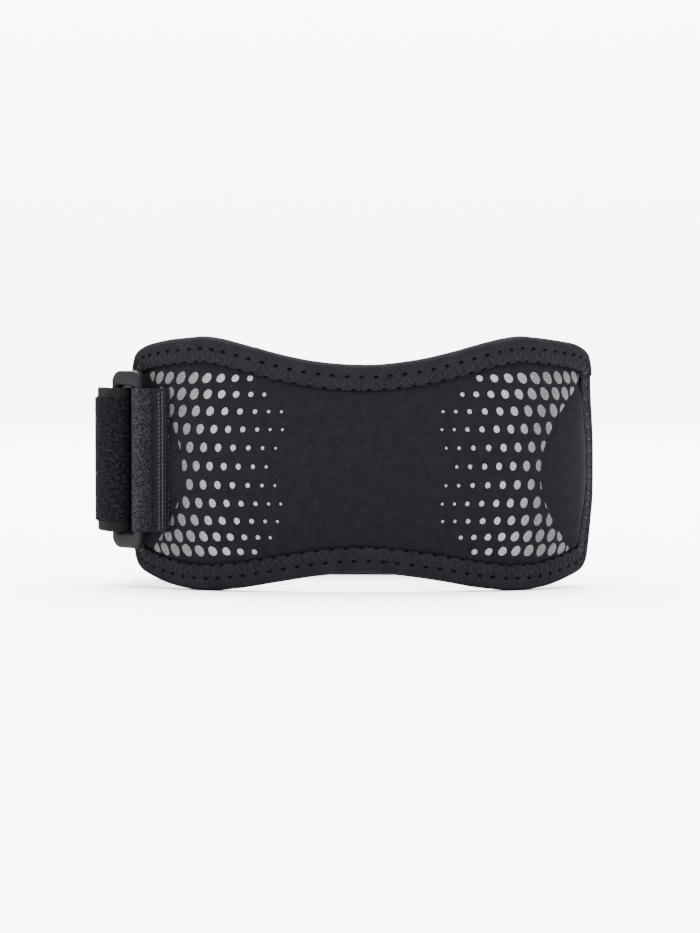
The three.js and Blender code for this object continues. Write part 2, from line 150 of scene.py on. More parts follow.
# Halftone print: rows above and below the middle, the distance along the pad of each row's
# innermost dot on the right and on the left, and how wide the row is spaced
PRINT_CENTRE = 34.2
PRINT_ROWS = [
    (5, 32.4, 30.5, 1.0), (4, 27.5, 26.5, 1.0), (3, 22.2, 21.8, 1.045), (2, 21.9, 21.5, 1.01),
    (1, 23.1, 23.4, 1.045), (0, 26.0, 26.0, 1.0), (-1, 23.0, 23.6, 1.04), (-2, 22.0, 22.0, 1.0),
    (-3, 22.1, 22.9, 1.01), (-4, 27.1, 24.9, 0.96), (-5, 31.0, 29.3, 0.97),
]
PRINT_END = 51.0
PRINT_END_CURVE = 0.0265
PRINT_END_CURVE_TOP_LEFT = 0.0185
PRINT_END_CENTRE = 32.0


def smoothstep(value, low, high):
    t = np.clip((np.asarray(value, float) - low) / (high - low), 0, 1)
    return t * t * (3 - 2 * t)


def frame_shift():
    """Where the pad's own origin lies in the frame, from the binding's box."""
    low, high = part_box("edge_binding")
    proud = BIND_OUTER - PAD_THICK / 2
    return np.array([(low[0] + high[0]) / 2, low[1] + proud * MM, 0.0])


SHIFT = frame_shift()


def to_frame(points):
    return np.asarray(points, float).reshape(-1, 3) * MM + SHIFT


# Meshes from arrays

def unit(vectors):
    return vectors / np.linalg.norm(vectors, axis=-1, keepdims=True)


def distances(points):
    """Distance travelled along a path at each of its points."""
    return np.concatenate([[0], np.cumsum(np.linalg.norm(np.diff(points, axis=0), axis=1))])


def interpolate(wanted, travelled, points):
    """Points of a path at the wanted distances along it."""
    return np.stack([np.interp(wanted, travelled, column) for column in np.transpose(points)], -1)


def make_mesh(name, points, faces, material, uv=None):
    """A smooth mesh from points in millimetres and groups of faces with equally many corners."""
    me = bpy.data.meshes.new(name)
    points = to_frame(points)
    sizes = np.concatenate([np.full(len(group), group.shape[1]) for group in faces])
    corners = np.concatenate([group.ravel() for group in faces]).astype(np.int32)
    starts = np.concatenate([[0], np.cumsum(sizes)[:-1]]).astype(np.int32)
    me.vertices.add(len(points))
    me.vertices.foreach_set("co", points.ravel())
    me.loops.add(len(corners))
    me.loops.foreach_set("vertex_index", corners)
    me.polygons.add(len(sizes))
    me.polygons.foreach_set("loop_start", starts)
    me.polygons.foreach_set("loop_total", sizes.astype(np.int32))
    me.update(calc_edges=True)
    if uv is not None:
        layer = me.uv_layers.new(name="UVMap")
        layer.data.foreach_set("uv", np.asarray(uv, float).reshape(-1, 2)[corners].ravel())
    me.polygons.foreach_set("use_smooth", np.full(len(sizes), True))
    me.validate()
    me.materials.append(material)
    made = bpy.data.objects.new(name, me)
    bpy.context.scene.collection.objects.link(made)
    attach(made, "root")
    return made


def tube_faces(rings, around, closed):
    """Quads that join rings of equally many points, out to the last ring or back to the first."""
    spans = rings if closed else rings - 1
    i = np.arange(spans)[:, None]
    k = np.arange(around)[None, :]
    here = i * around
    after = ((i + 1) % rings) * around
    k2 = (k + 1) % around
    return np.stack([here + k, here + k2, after + k2, after + k], -1).reshape(-1, 4)


def strip_caps(rings, around):
    """Quads across both ends of a tube whose section is two equal runs, out and back."""
    k = np.arange(around // 2 - 1)
    start = np.stack([k, around - 1 - k, around - 2 - k, k + 1], -1)
    return np.concatenate([start, start[:, ::-1] + (rings - 1) * around])


def face_outward(made):
    """Turns a closed mesh's faces outward."""
    bpy.context.view_layer.objects.active = made
    for other in bpy.context.selected_objects:
        other.select_set(False)
    made.select_set(True)
    bpy.ops.object.mode_set(mode="EDIT")
    bpy.ops.mesh.select_all(action="SELECT")
    bpy.ops.mesh.normals_make_consistent(inside=False)
    bpy.ops.object.mode_set(mode="OBJECT")
    made.select_set(False)


def ring_mesh(name, rings, material, uv=None, closed=False):
    """A closed mesh from rings of points. Rings that don't close up get a cap at both ends."""
    count, around = rings.shape[:2]
    faces = [tube_faces(count, around, closed)]
    if not closed:
        faces.append(strip_caps(count, around))
    made = make_mesh(name, rings, faces, material, uv)
    face_outward(made)
    return made


def thread_mesh(name, paths, radius, material, sides=6):
    """Round threads along many paths of equally many points."""
    paths = np.asarray(paths, float)
    count, steps, _ = paths.shape
    run = unit(np.gradient(paths, axis=1))
    helper = np.where(np.abs(run[..., 2:3]) > 0.9, [[[1.0, 0, 0]]], [[[0, 0, 1.0]]])
    a = unit(np.cross(run, helper))
    b = np.cross(run, a)
    t = np.linspace(-1, 1, steps)
    taper = np.sqrt(np.clip(1 - 0.85 * np.abs(t) ** 8, 0.05, 1))[None, :, None, None]
    angle = np.arange(sides)[:, None] / sides * 2 * math.pi
    ring = np.cos(angle) * a[:, :, None, :] + np.sin(angle) * b[:, :, None, :]
    points = paths[:, :, None, :] + ring * radius * taper
    k = np.arange(sides)
    caps = []
    for first, order in ((0, k[::-1]), ((steps - 1) * sides, k)):
        caps.append(first + np.stack([np.full(sides - 2, order[0]), order[1:-1], order[2:]], -1))
    offset = (np.arange(count) * steps * sides)[:, None, None]
    quads = (tube_faces(steps, sides, False) + offset).reshape(-1, 4)
    tris = (np.concatenate(caps) + offset).reshape(-1, 3)
    uv = np.zeros((count * steps * sides, 2))
    uv[:, 0] = np.repeat(np.tile(np.arange(steps), count), sides)
    return make_mesh(name, points, [quads, tris], material, uv)


# The pad's plan curve and outline

def heading(along):
    share = np.asarray(along, float) / PAD_HALF
    return PAD_END_HEADING * share * np.abs(share)


PLAN_STEP = 0.02
PLAN_ALONG = np.arange(0, PAD_HALF * 1.1, PLAN_STEP)
PLAN_X = np.concatenate([[0], np.cumsum(np.cos(heading(PLAN_ALONG[:-1] + PLAN_STEP / 2)))]) * PLAN_STEP
PLAN_Y = np.concatenate([[0], np.cumsum(np.sin(heading(PLAN_ALONG[:-1] + PLAN_STEP / 2)))]) * PLAN_STEP


def face_plan(along):
    along = np.asarray(along, float)
    x = np.sign(along) * np.interp(np.abs(along), PLAN_ALONG, PLAN_X)
    y = np.interp(np.abs(along), PLAN_ALONG, PLAN_Y)
    return np.stack([x, y], -1)


def face_outward_plan(along):
    turn = heading(along)
    return np.stack([np.sin(turn), -np.cos(turn)], -1)


def pad_points(along, out, up):
    """Points at a distance along the pad's outer face, a distance out of it, and a height."""
    along, out, up = np.broadcast_arrays(along, out, up)
    plan = face_plan(along) + face_outward_plan(along) * out[..., None]
    return np.concatenate([plan, up[..., None]], -1)


def centripetal_spline(points, per_span):
    """A closed curve through points, each span with equally many samples."""
    count = len(points)
    out = []
    for i in range(count):
        p0, p1, p2, p3 = (points[(i + k - 1) % count] for k in range(4))
        knots = [0.0]
        for a, b in ((p0, p1), (p1, p2), (p2, p3)):
            knots.append(knots[-1] + max(np.linalg.norm(b - a), 1e-6) ** 0.5)
        t0, t1, t2, t3 = knots
        t = np.linspace(t1, t2, per_span, endpoint=False)[:, None]
        a1 = (t1 - t) / (t1 - t0) * p0 + (t - t0) / (t1 - t0) * p1
        a2 = (t2 - t) / (t2 - t1) * p1 + (t - t1) / (t2 - t1) * p2
        a3 = (t3 - t) / (t3 - t2) * p2 + (t - t2) / (t3 - t2) * p3
        b1 = (t2 - t) / (t2 - t0) * a1 + (t - t0) / (t2 - t0) * a2
        b2 = (t3 - t) / (t3 - t1) * a2 + (t - t1) / (t3 - t1) * a3
        out.append((t2 - t) / (t2 - t1) * b1 + (t - t1) / (t2 - t1) * b2)
    return np.concatenate(out)


def pad_outline(samples):
    """Evenly spaced points (along, up), their inward normals and distances round the outline."""
    right = np.array([
        (a * PAD_HALF, up * PAD_HEIGHT - dip * WAIST_DIP + rise * WAIST_RISE)
        for a, up, dip, rise in OUTLINE_ROWS
    ])
    left = right[-2:0:-1] * [-1, 1]
    dense = centripetal_spline(np.concatenate([right, left]), 60)
    closed = np.concatenate([dense, dense[:1]])
    travelled = distances(closed)
    wanted = np.arange(samples) / samples * travelled[-1]
    points = interpolate(wanted, travelled, closed)
    run = unit(np.roll(points, -1, 0) - np.roll(points, 1, 0))
    points[:, 1] = np.maximum(points[:, 1], 0)
    return points, np.stack([run[:, 1], -run[:, 0]], -1), wanted, travelled[-1]


OUTLINE_SAMPLES = 1100
OUTLINE, INWARD, ROUND, ROUND_LENGTH = pad_outline(OUTLINE_SAMPLES)
STITCHES = round(ROUND_LENGTH / STITCH_PITCH)
PITCH = ROUND_LENGTH / STITCHES


def outline_distance(along, up):
    """Distance from the outline of points inside it."""
    points = np.stack([np.ravel(along), np.ravel(up)], -1)
    out = np.empty(len(points))
    for k in range(0, len(points), 4000):
        part = points[k:k + 4000, None, :] - OUTLINE[None, ::2, :]
        out[k:k + 4000] = np.sqrt((part ** 2).sum(-1).min(1))
    return out.reshape(np.shape(along))


def heights_at(outline, along):
    """Lowest and highest point of an outline at one distance along the pad."""
    a = outline
    b = np.roll(outline, -1, 0)
    cross = (a[:, 0] <= along) != (b[:, 0] <= along)
    a, b = a[cross], b[cross]
    up = a[:, 1] + (along - a[:, 0]) / (b[:, 0] - a[:, 0]) * (b[:, 1] - a[:, 1])
    return up.min(), up.max()


# Materials

def node(tree, kind, output, inputs, **settings):
    """Adds a shader node. Each of its inputs takes a value or another node's output."""
    made = tree.nodes.new("ShaderNode" + kind)
    for key, value in settings.items():
        setattr(made, key, value)
    for key, value in inputs.items():
        if isinstance(value, bpy.types.NodeSocket):
            tree.links.new(value, made.inputs[key])
        else:
            made.inputs[key].default_value = value
    return made.outputs[output]


def scaled_uv(tree, scale=(1, 1, 1)):
    """The surface's own coordinates, which are millimetres, times a scale."""
    return node(tree, "Mapping", "Vector", {"Vector": node(tree, "UVMap", "UV", {}), "Scale": scale})


def axis(tree, vector, name):
    return node(tree, "SeparateXYZ", name, {"Vector": vector})


def noise(tree, vector, scale, detail=3.0, roughness=0.55):
    values = {"Vector": vector, "Scale": scale, "Detail": detail, "Roughness": roughness}
    return node(tree, "TexNoise", "Fac", values)


def wave(tree, vector, scale, direction="X", distortion=0.0):
    values = {"Vector": vector, "Scale": scale, "Distortion": distortion, "Detail": 1.0}
    return node(tree, "TexWave", "Fac", values, bands_direction=direction)


def maths(tree, operation, *values):
    return node(tree, "Math", "Value", dict(enumerate(values)), operation=operation)


def weighted(tree, *parts):
    """The sum of some outputs, each times its own weight."""
    total = 0.0
    for value, weight in parts:
        total = maths(tree, "MULTIPLY_ADD", value, weight, total)
    return total


def map_range(tree, value, start, end, low=0.0, high=1.0, kind="SMOOTHSTEP"):
    """Goes from low to high while the value goes from start to end."""
    values = {"Value": value, "From Min": start, "From Max": end, "To Min": low, "To Max": high}
    return node(tree, "MapRange", "Result", values, interpolation_type=kind)


def ramp(tree, value, stops):
    """Colours by value: stops are (position, (r, g, b))."""
    made = tree.nodes.new("ShaderNodeValToRGB")
    elements = made.color_ramp.elements
    while len(elements) < len(stops):
        elements.new(0.5)
    for element, (position, colour) in zip(elements, stops):
        element.position = position
        element.color = (*colour, 1)
    tree.links.new(value, made.inputs["Fac"])
    return made.outputs["Color"]


def grey(value, tint=(1.0, 0.925, 1.18)):
    """A near-neutral colour of the given brightness with the goods' cool cast."""
    return tuple(value * GOODS_TONE * t for t in tint)


def grey_ramp(tree, value, *stops, **tint):
    """Greys by value: stops are (position, brightness)."""
    return ramp(tree, value, [(position, grey(brightness, **tint)) for position, brightness in stops])


def new_material(name, colour, roughness, specular):
    material = bpy.data.materials.new(name)
    material.use_nodes = True
    shader = material.node_tree.nodes["Principled BSDF"]
    shader.inputs["Base Color"].default_value = (*colour, 1)
    shader.inputs["Roughness"].default_value = roughness
    shader.inputs["Specular IOR Level"].default_value = specular
    return material, material.node_tree


def finish(material, colour, *relief, **links):
    """Links a material's colour and its layers of fine relief: (height, distance, strength)."""
    tree = material.node_tree
    layers = {}
    for height, distance, strength in relief:
        values = {"Height": height, "Distance": distance, "Strength": strength, **layers}
        layers["Normal"] = node(tree, "Bump", "Normal", values)
    for key, value in {"Base Color": colour, **layers, **links}.items():
        tree.links.new(value, tree.nodes["Principled BSDF"].inputs[key])
    return material


def bare_end_tone_and_rim_highlight(tree, uv):
    """How much lighter the unprinted end of the pad is: a little over all of it, and a painted highlight
    that rises towards its rim, nothing on the print.
    """
    along = maths(tree, "ABSOLUTE", axis(tree, uv, "X"))
    from_centre = maths(tree, "SUBTRACT", axis(tree, uv, "Y"), PRINT_END_CENTRE)
    curve = maths(tree, "MULTIPLY", maths(tree, "MULTIPLY", from_centre, from_centre), PRINT_END_CURVE)
    spread = map_range(tree, maths(tree, "SUBTRACT", along, curve), PRINT_END, PRINT_END + 5)
    seam = PAD_HALF - BIND_WIDTH
    # The rise towards the seam is a painted highlight on the end's rolled rim.
    return maths(tree, "MULTIPLY", map_range(tree, along, seam - 6.5, seam - 0.5, 0.03, 0.37), spread)


def pad_fabric():
    """Smooth stretch knit: tiny wales and courses, faint mottling, and a painted highlight towards the rims
    of its unprinted ends.
    """
    material, tree = new_material("pad_fabric", grey(0.007), 0.8, 0.015)
    uv = scaled_uv(tree)
    knit = maths(tree, "MULTIPLY", wave(tree, uv, 0.72, "X", 0.6), wave(tree, uv, 0.55, "Y", 0.6))
    mottle = noise(tree, uv, 0.35, 4.0)
    grain = noise(tree, uv, 3.2, 2.0)
    shade = weighted(tree, (knit, 0.2), (grain, 0.5), (mottle, 0.35), (bare_end_tone_and_rim_highlight(tree, uv), 1))
    colour = grey_ramp(tree, shade, (0.3, 0.0049), (0.52, 0.0088), (0.8, 0.0155))
    return finish(material, colour, (knit, 0.00012, 0.5), (grain, 0.00008, 0.35))


def needle_hole_shade(tree, uv):
    """Painted shade in the zigzag's needle holes: one there and nothing elsewhere."""
    turns = maths(tree, "DIVIDE", axis(tree, uv, "X"), PITCH)
    from_outer = maths(tree, "MULTIPLY", maths(tree, "PINGPONG", turns, 0.5), PITCH)
    from_inner = maths(tree, "SUBTRACT", PITCH / 2, from_outer)
    hole_shade = 0.0
    for away, inset in ((from_outer, STITCH_OUTER), (from_inner, STITCH_INNER)):
        across = maths(tree, "DIVIDE", maths(tree, "SUBTRACT", axis(tree, uv, "Y"), inset), HOLE_SHADE_ACROSS)
        away = maths(tree, "DIVIDE", away, HOLE_SHADE_ALONG)
        squares = maths(tree, "MULTIPLY_ADD", away, away, maths(tree, "MULTIPLY", across, across))
        hole_shade = maths(tree, "MAXIMUM", map_range(tree, squares, 0.42, 0.06), hole_shade)
    return hole_shade


def binding_fabric():
    """Ribbed knit strip: ribs across the strip, a little lighter than the pad, with painted shade in the
    needle holes.
    """
    material, tree = new_material("binding_fabric", grey(0.0085), 0.85, 0.015)
    uv = scaled_uv(tree)
    ribs = wave(tree, uv, 0.62, "X", 0.8)
    grain = noise(tree, uv, 2.6)
    patches = noise(tree, uv, 0.22)
    # Painted shade: the needle holes are darkened in the colour.
    shade = weighted(tree, (ribs, 0.16), (grain, 0.6), (patches, 0.34), (needle_hole_shade(tree, uv), -0.6))
    colour = grey_ramp(tree, shade, (0.05, 0.0006), (0.3, 0.0045), (0.55, 0.0108), (0.85, 0.02))
    waves = noise(tree, uv, 0.8, 2.0)
    return finish(material, colour, (ribs, 0.00012, 0.4), (grain, 0.0002, 0.6), (waves, 0.0006, 0.35))


def thread_material(name, dark, light):
    material, tree = new_material(name, grey(dark), 0.6, 0.04)
    twist = wave(tree, scaled_uv(tree), 0.5)
    return finish(material, grey_ramp(tree, twist, (0.1, dark), (0.8, light)), (twist, 0.00005, 0.4))


def ring_plastic():
    """Satin moulded plastic with faint mottling and scuffs."""
    material, tree = new_material("ring_plastic", grey(0.010), 0.5, 0.06)
    spot = node(tree, "TexCoord", "Object", {})
    spot = node(tree, "Mapping", "Vector", {"Vector": spot, "Scale": (1 / MM,) * 3})
    mottle = noise(tree, spot, 0.5, 5.0)
    colour = grey_ramp(tree, mottle, (0.3, 0.0055), (0.7, 0.0082), tint=RING_TINT)
    rough = ramp(tree, mottle, [(0.3, (0.36,) * 3), (0.75, (0.52,) * 3)])
    return finish(material, colour, (noise(tree, spot, 6.0), 0.00003, 0.25), Roughness=rough)


def tab_webbing():
    """Coarse webbing: rows of floats that catch the light between dark gaps, with painted shade that makes
    the flat darker than the fold round the bar.
    """
    material, tree = new_material("tab_webbing", grey(0.015), 0.7, 0.04)
    uv = scaled_uv(tree)
    values = {"Vector": scaled_uv(tree, (0.7, 1.35, 1)), "Scale": 2.9, "Randomness": 0.85}
    cells = node(tree, "TexVoronoi", "Distance", values)
    fold = TAB_GROOVE - TAB_END
    # Painted shade: the flat part is darker and the fold round the bar a little lighter.
    flat = map_range(tree, axis(tree, uv, "X"), fold - 0.3, fold + 0.5, 0.16, -0.03, "LINEAR")
    mix = weighted(tree, (cells, 0.9), (noise(tree, uv, 2.0), 0.6), (flat, 1))
    colour = grey_ramp(tree, mix, (0.3, 0.085), (0.52, 0.034), (0.8, 0.006))
    return finish(material, colour, (maths(tree, "SUBTRACT", 1.0, mix), 0.00035, 0.9))


def strap_pile_material():
    material, tree = new_material("strap_pile", grey(0.005), 0.9, 0.015)
    uv = scaled_uv(tree)
    clumps = noise(tree, uv, 1.3, 4.0, 0.6)
    specks = noise(tree, uv, 3.4, 3.0, 0.7)
    shade = weighted(tree, (clumps, 0.5), (specks, 0.5))
    colour = grey_ramp(tree, shade, (0.4, 0.0008), (0.5, 0.0045), (0.6, 0.019))
    return finish(material, colour, (clumps, 0.0006, 0.6), (specks, 0.0003, 0.8))


def selvedge_material():
    material, tree = new_material("strap_selvedge", grey(0.008), 0.8, 0.02)
    uv = scaled_uv(tree)
    grain = noise(tree, uv, 2.4)
    colour = grey_ramp(tree, grain, (0.3, 0.0055), (0.7, 0.011), tint=SELVEDGE_TINT)
    return finish(material, colour, (wave(tree, uv, 0.6, "X", 0.4), 0.0002, 0.5), (grain, 0.0002, 0.4))


def fuzz_material():
    material, tree = new_material("strap_fuzz", grey(0.012), 0.8, 0.02)
    streak = noise(tree, scaled_uv(tree), 5.0, 2.0)
    return finish(material, grey_ramp(tree, streak, (0.3, 0.005), (0.75, 0.024)))


def hook_material():
    material, tree = new_material("hook_tape", grey(0.008), 0.55, 0.12)
    grain = noise(tree, scaled_uv(tree), 2.0)
    return finish(material, grey_ramp(tree, grain, (0.3, 0.006), (0.7, 0.011)), (grain, 0.0002, 0.5))


def print_silver():
    """Matte silver ink: mottled where the knit shows through, with painted shade that keeps it brighter
    nearer the pad's middle and darker towards its ends, where the face turns from the light.
    """
    material, tree = new_material("print_silver", (0.3, 0.29, 0.3), 0.6, 0.2)
    uv = scaled_uv(tree)
    grain = noise(tree, uv, 2.6, 3.0, 0.75)
    patches = noise(tree, uv, 0.25, 2.0)
    # Painted shade: the ink darkens towards the pad's ends, where its face turns away.
    painted_side_shade = map_range(tree, maths(tree, "ABSOLUTE", axis(tree, uv, "X")), 36.0, 53.0, 0.07, -0.25)
    shade = weighted(tree, (grain, 1.1), (patches, 0.12), (painted_side_shade, 1))
    return finish(material, ramp(tree, shade, SILVER_STOPS), (grain, 0.00012, 0.5))


# Pad

SEAM_DIP = 0.55
SEAM_DIP_WIDTH = 1.3
PAD_CROWN = 0.18
PUCKER = 0.07
SLACK = 0.09
END_RISE = 0.95
END_GROOVE = 0.3
END_ROLL = 0.75
PAD_COLUMNS = 280
PAD_ROWS = 130
PAD_REACH = 0.975


def pad_half(distance):
    """Half the pad's thickness at a distance from its outline."""
    full = smoothstep(distance, BIND_WIDTH - 0.2, BIND_WIDTH + 0.4)
    half = PAD_EDGE_THICK / 2 + (PAD_THICK - PAD_EDGE_THICK) / 2 * full
    past = np.maximum(distance - BIND_WIDTH, 0)
    dip = SEAM_DIP * np.exp(-past / SEAM_DIP_WIDTH)
    crown = PAD_CROWN * (1 - np.exp(-past / 5))
    return np.where(distance > BIND_WIDTH - 0.2, half - dip * full + crown * full, half)


def past_print(along, up):
    """Distance past the curved line where the print stops, towards the pad's end."""
    over = np.asarray(up) - PRINT_END_CENTRE
    top_left = (np.asarray(along) < 0) & (over > 0)
    curve = np.where(top_left, PRINT_END_CURVE_TOP_LEFT, PRINT_END_CURVE)
    return np.abs(along) - PRINT_END - curve * over ** 2


def pad_front_out(along, up):
    """How far the pad's front stands out of the plan curve."""
    along, up = np.asarray(along), np.asarray(up)
    distance = outline_distance(along, up)
    past = np.maximum(distance - BIND_WIDTH, 0)
    near = np.exp(-past / 1.6) * (distance > BIND_WIDTH - 0.2)
    ripple = PUCKER * np.cos(along / PITCH * 2 * math.pi) * near
    slack = SLACK * np.sin(along * 0.21 + 0.7) * np.sin(up * 0.17)
    slack = slack * smoothstep(distance, BIND_WIDTH + 1, BIND_WIDTH + 8)
    into_end = past_print(along, up)
    end = END_RISE * smoothstep(into_end, 0.3, 9) - END_GROOVE * np.exp(-(into_end / 1.3) ** 2)
    roll = -END_ROLL * np.exp(-past / 1.1) * smoothstep(into_end, 6, 12)
    end = (end + roll) * smoothstep(distance, BIND_WIDTH - 0.2, BIND_WIDTH + 0.6)
    return pad_half(distance) - PAD_THICK / 2 + ripple + slack + end


def make_pad(material):
    """The panel as upright rings of points, closer together near its edges and its ends."""
    edge = OUTLINE + INWARD * (BIND_WALL + CLEARANCE)
    share = PAD_REACH * np.linspace(-1, 1, PAD_COLUMNS)
    along = edge[:, 0].max() * np.sin(share * math.pi / 2)
    fraction = np.linspace(-1, 1, PAD_ROWS)
    fraction = 0.5 + 0.5 * np.sign(fraction) * (0.75 * np.abs(fraction) + 0.25 * np.abs(fraction) ** 0.5)
    limits = np.array([heights_at(edge, a) for a in along])
    up = limits[:, :1] + (limits[:, 1:] - limits[:, :1]) * fraction
    along = np.broadcast_to(along[:, None], up.shape)
    front = pad_points(along, pad_front_out(along, up), up)
    back = pad_points(along, -PAD_THICK / 2 - pad_half(outline_distance(along, up)), up)
    uv = np.stack([along, up], -1)
    rings = np.concatenate([front, back[:, ::-1]], 1)
    pad = ring_mesh("pad_panel", rings, material, np.concatenate([uv, uv[:, ::-1]], 1))
    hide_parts("front_pad")


# Binding

# The strip's finishing end wraps the pad's top right corner and is cut off level.
END_LEVEL = 58.5
END_START = 60.0
END_LAYER = 0.3
END_SKIN = 0.3

# Relief of the sewn strip, in millimetres
EDGE_ROLL = 0.12
SEWN_DOWN = 0.22
HOLE_DEPTH = 0.62
HOLE_RADIUS = 0.45
PULL_DEPTH = 0.30
PULL_RADIUS = 0.55
GROOVE_DEPTH = 0.10
GROOVE_HALF_WIDTH = 0.42
BULGE = 0.10
LIP_DROPS = (0.45, 0.18)


def zigzag_inset(travelled):
    """Inset of the zigzag seam at a distance round the outline."""
    phase = np.mod(travelled / PITCH, 1)
    return STITCH_OUTER + (STITCH_INNER - STITCH_OUTER) * (1 - np.abs(2 * phase - 1))


def binding_out(travelled, inset):
    """How far the binding's wall stands from the pad's middle surface."""
    roll = EDGE_ROLL * np.exp(-((inset - 2.0) / 1.1) ** 2)
    sewn = -SEWN_DOWN * smoothstep(inset, STITCH_OUTER - 0.9, STITCH_OUTER + 0.2)
    phase = travelled / PITCH
    to_outer = np.abs(np.mod(phase + 0.5, 1) - 0.5) * PITCH
    to_inner = np.abs(np.mod(phase, 1) - 0.5) * PITCH
    hole = -HOLE_DEPTH * np.exp(-(to_outer ** 2 + (inset - STITCH_OUTER + 0.1) ** 2) / HOLE_RADIUS ** 2)
    pull = -PULL_DEPTH * np.exp(-(to_inner ** 2 + (inset - STITCH_INNER - 0.1) ** 2) / PULL_RADIUS ** 2)
    groove = -GROOVE_DEPTH * np.exp(-((inset - zigzag_inset(travelled)) / GROOVE_HALF_WIDTH) ** 2)
    bulge = BULGE * np.exp(-(to_inner / 0.9) ** 2 - ((inset - STITCH_OUTER - 0.6) / 0.8) ** 2)
    return BIND_OUTER + roll + sewn + hole + pull + groove + bulge


def edge_wander(travelled):
    """Small unevenness of the bound edge, in millimetres inward."""
    turn = travelled / ROUND_LENGTH * 2 * math.pi
    slow = 0.08 * np.sin(9 * turn + 1.3) + 0.05 * np.sin(23 * turn + 0.4)
    return np.maximum(slow, -0.02) * 0.6


def strip_points(place, inward, inset, out):
    """Points at an inset from a place on the outline, and out of the pad's middle surface."""
    at = place + inward * np.asarray(inset)[..., None]
    return pad_points(at[..., 0], -PAD_THICK / 2 + out, at[..., 1])


def there_and_back(inset, out):
    """A section's front run, followed by its mirror image at the back of the pad."""
    return np.concatenate([inset, inset[:, -2::-1]], 1), np.concatenate([out, -out[:, -2::-1]], 1)


def make_binding(material):
    """The strip folded round the edge: front lip, wall and bend, the same at the back, inside."""
    travelled = ROUND[:, None]
    wander = edge_wander(ROUND) * smoothstep(OUTLINE[:, 1], 0.0, 2.5)
    inward = INWARD[:, None, :]
    place = OUTLINE[:, None, :] + inward * wander[:, None, None]
    lip = BIND_WIDTH + np.array([0.12, 0.02])
    lip_out = BIND_OUTER - 0.25 - np.array(LIP_DROPS)
    wall = np.concatenate([np.linspace(BIND_WIDTH, 6.0, 6), np.linspace(5.75, BIND_BEND, 19)])
    bend = np.linspace(0, math.pi / 2, 9)[1:]
    inset, out = there_and_back(
        np.concatenate([lip, wall, BIND_BEND * (1 - np.sin(bend))])[None, :],
        np.concatenate([
            np.broadcast_to(lip_out, (OUTLINE_SAMPLES, 2)),
            binding_out(travelled, wall),
            binding_out(travelled, BIND_BEND) * np.cos(bend),
        ], 1),
    )
    inside = np.array([[BIND_WIDTH, BIND_WALL, BIND_WALL, BIND_WIDTH]])
    inside_out = BIND_INNER * np.array([-1, -1, 1, 1])
    inset = np.concatenate([inset, inside], 1)
    out = np.concatenate([out, np.broadcast_to(inside_out, (OUTLINE_SAMPLES, 4))], 1)
    uv = np.stack(np.broadcast_arrays(travelled, inset), -1)
    rings = strip_points(place, inward, inset, out)
    binding = ring_mesh("binding_strip", rings, material, uv, closed=True)
    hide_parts("edge_binding")


def end_reach():
    """Outline samples that the strip's end covers, and how far in it reaches at each."""
    index = np.flatnonzero((OUTLINE[:, 1] > END_LEVEL) & (OUTLINE[:, 0] > END_START))
    drop = (OUTLINE[index, 1] - END_LEVEL) / np.maximum(-INWARD[index, 1], 0.08)
    return index, np.minimum(drop, BIND_WIDTH + 0.15)


def end_lift(index):
    """The end's extra thickness, which grows from nothing where the strip starts to overlap."""
    return END_LAYER * smoothstep(OUTLINE[index, 0], END_START, END_START + 6) + 0.02


def make_binding_end(material):
    """The strip's end as a thin skin over the binding, with its under side just inside."""
    index, reach = end_reach()
    keep = reach > 0.35
    index, reach = index[keep], reach[keep, None]
    lift = end_lift(index)[:, None]
    travelled = ROUND[index, None]
    inward = INWARD[index, None, :]
    place = OUTLINE[index, None, :] - inward * lift[..., None] * 0.8
    bend = np.minimum(BIND_BEND, reach * 0.5)
    wall = bend + (reach - bend) * np.linspace(1, 0, 18)
    angles = np.linspace(0, math.pi / 2, 8)[1:]
    inset, out = there_and_back(
        np.concatenate([reach + 0.05, wall, bend * (1 - np.sin(angles))], 1),
        np.concatenate([
            binding_out(travelled, reach) - 0.1,
            binding_out(travelled, wall) + lift,
            (binding_out(travelled, bend) + lift) * np.cos(angles),
        ], 1),
    )
    outer = strip_points(place, inward, inset, out)
    under = outer + unit(strip_points(place, inward, [BIND_WIDTH / 2], 0) - outer) * END_SKIN
    uv = np.stack(np.broadcast_arrays(travelled, inset), -1)
    rings = np.concatenate([outer, under[:, ::-1]], 1)
    end = ring_mesh("binding_end", rings, material, np.concatenate([uv, uv[:, ::-1]], 1))


def make_zigzag(material):
    """Both faces' zigzag: two strands side by side, a short arched run for each leg of it."""
    legs = np.repeat(np.arange(2 * STITCHES), 2)[:, None]
    strand = STRAND_GAP * (np.arange(len(legs)) % 2 - 0.5)[:, None]
    t = np.linspace(0, 1, 9)[None, :]
    start = np.where(legs % 2 == 0, STITCH_OUTER, STITCH_INNER)
    inset = start + (STITCH_OUTER + STITCH_INNER - 2 * start) * t
    travelled = (legs + 0.04 + 0.92 * t) * PITCH / 2 + strand
    index, reach = end_reach()
    lift_round = np.zeros(OUTLINE_SAMPLES)
    lift_round[index] = end_lift(index)
    reach_round = np.full(OUTLINE_SAMPLES, BIND_WIDTH)
    reach_round[index] = reach
    table = np.column_stack([OUTLINE, INWARD, lift_round, reach_round])
    table = np.concatenate([table, table[:1]])
    at = interpolate(np.mod(travelled, ROUND_LENGTH), np.append(ROUND, ROUND_LENGTH), table)
    covered = (at[..., 5] + 0.05 >= inset).all(1)
    arch = THREAD * 0.9 * np.sin(t * math.pi) ** 0.5 - 0.05
    out = binding_out(travelled, inset) + at[..., 4] + arch
    faces = [strip_points(at[..., :2], at[..., 2:4], inset, side * out)[covered] for side in (1, -1)]
    zigzag = thread_mesh("zigzag_thread", np.concatenate(faces), THREAD, material)


# Print

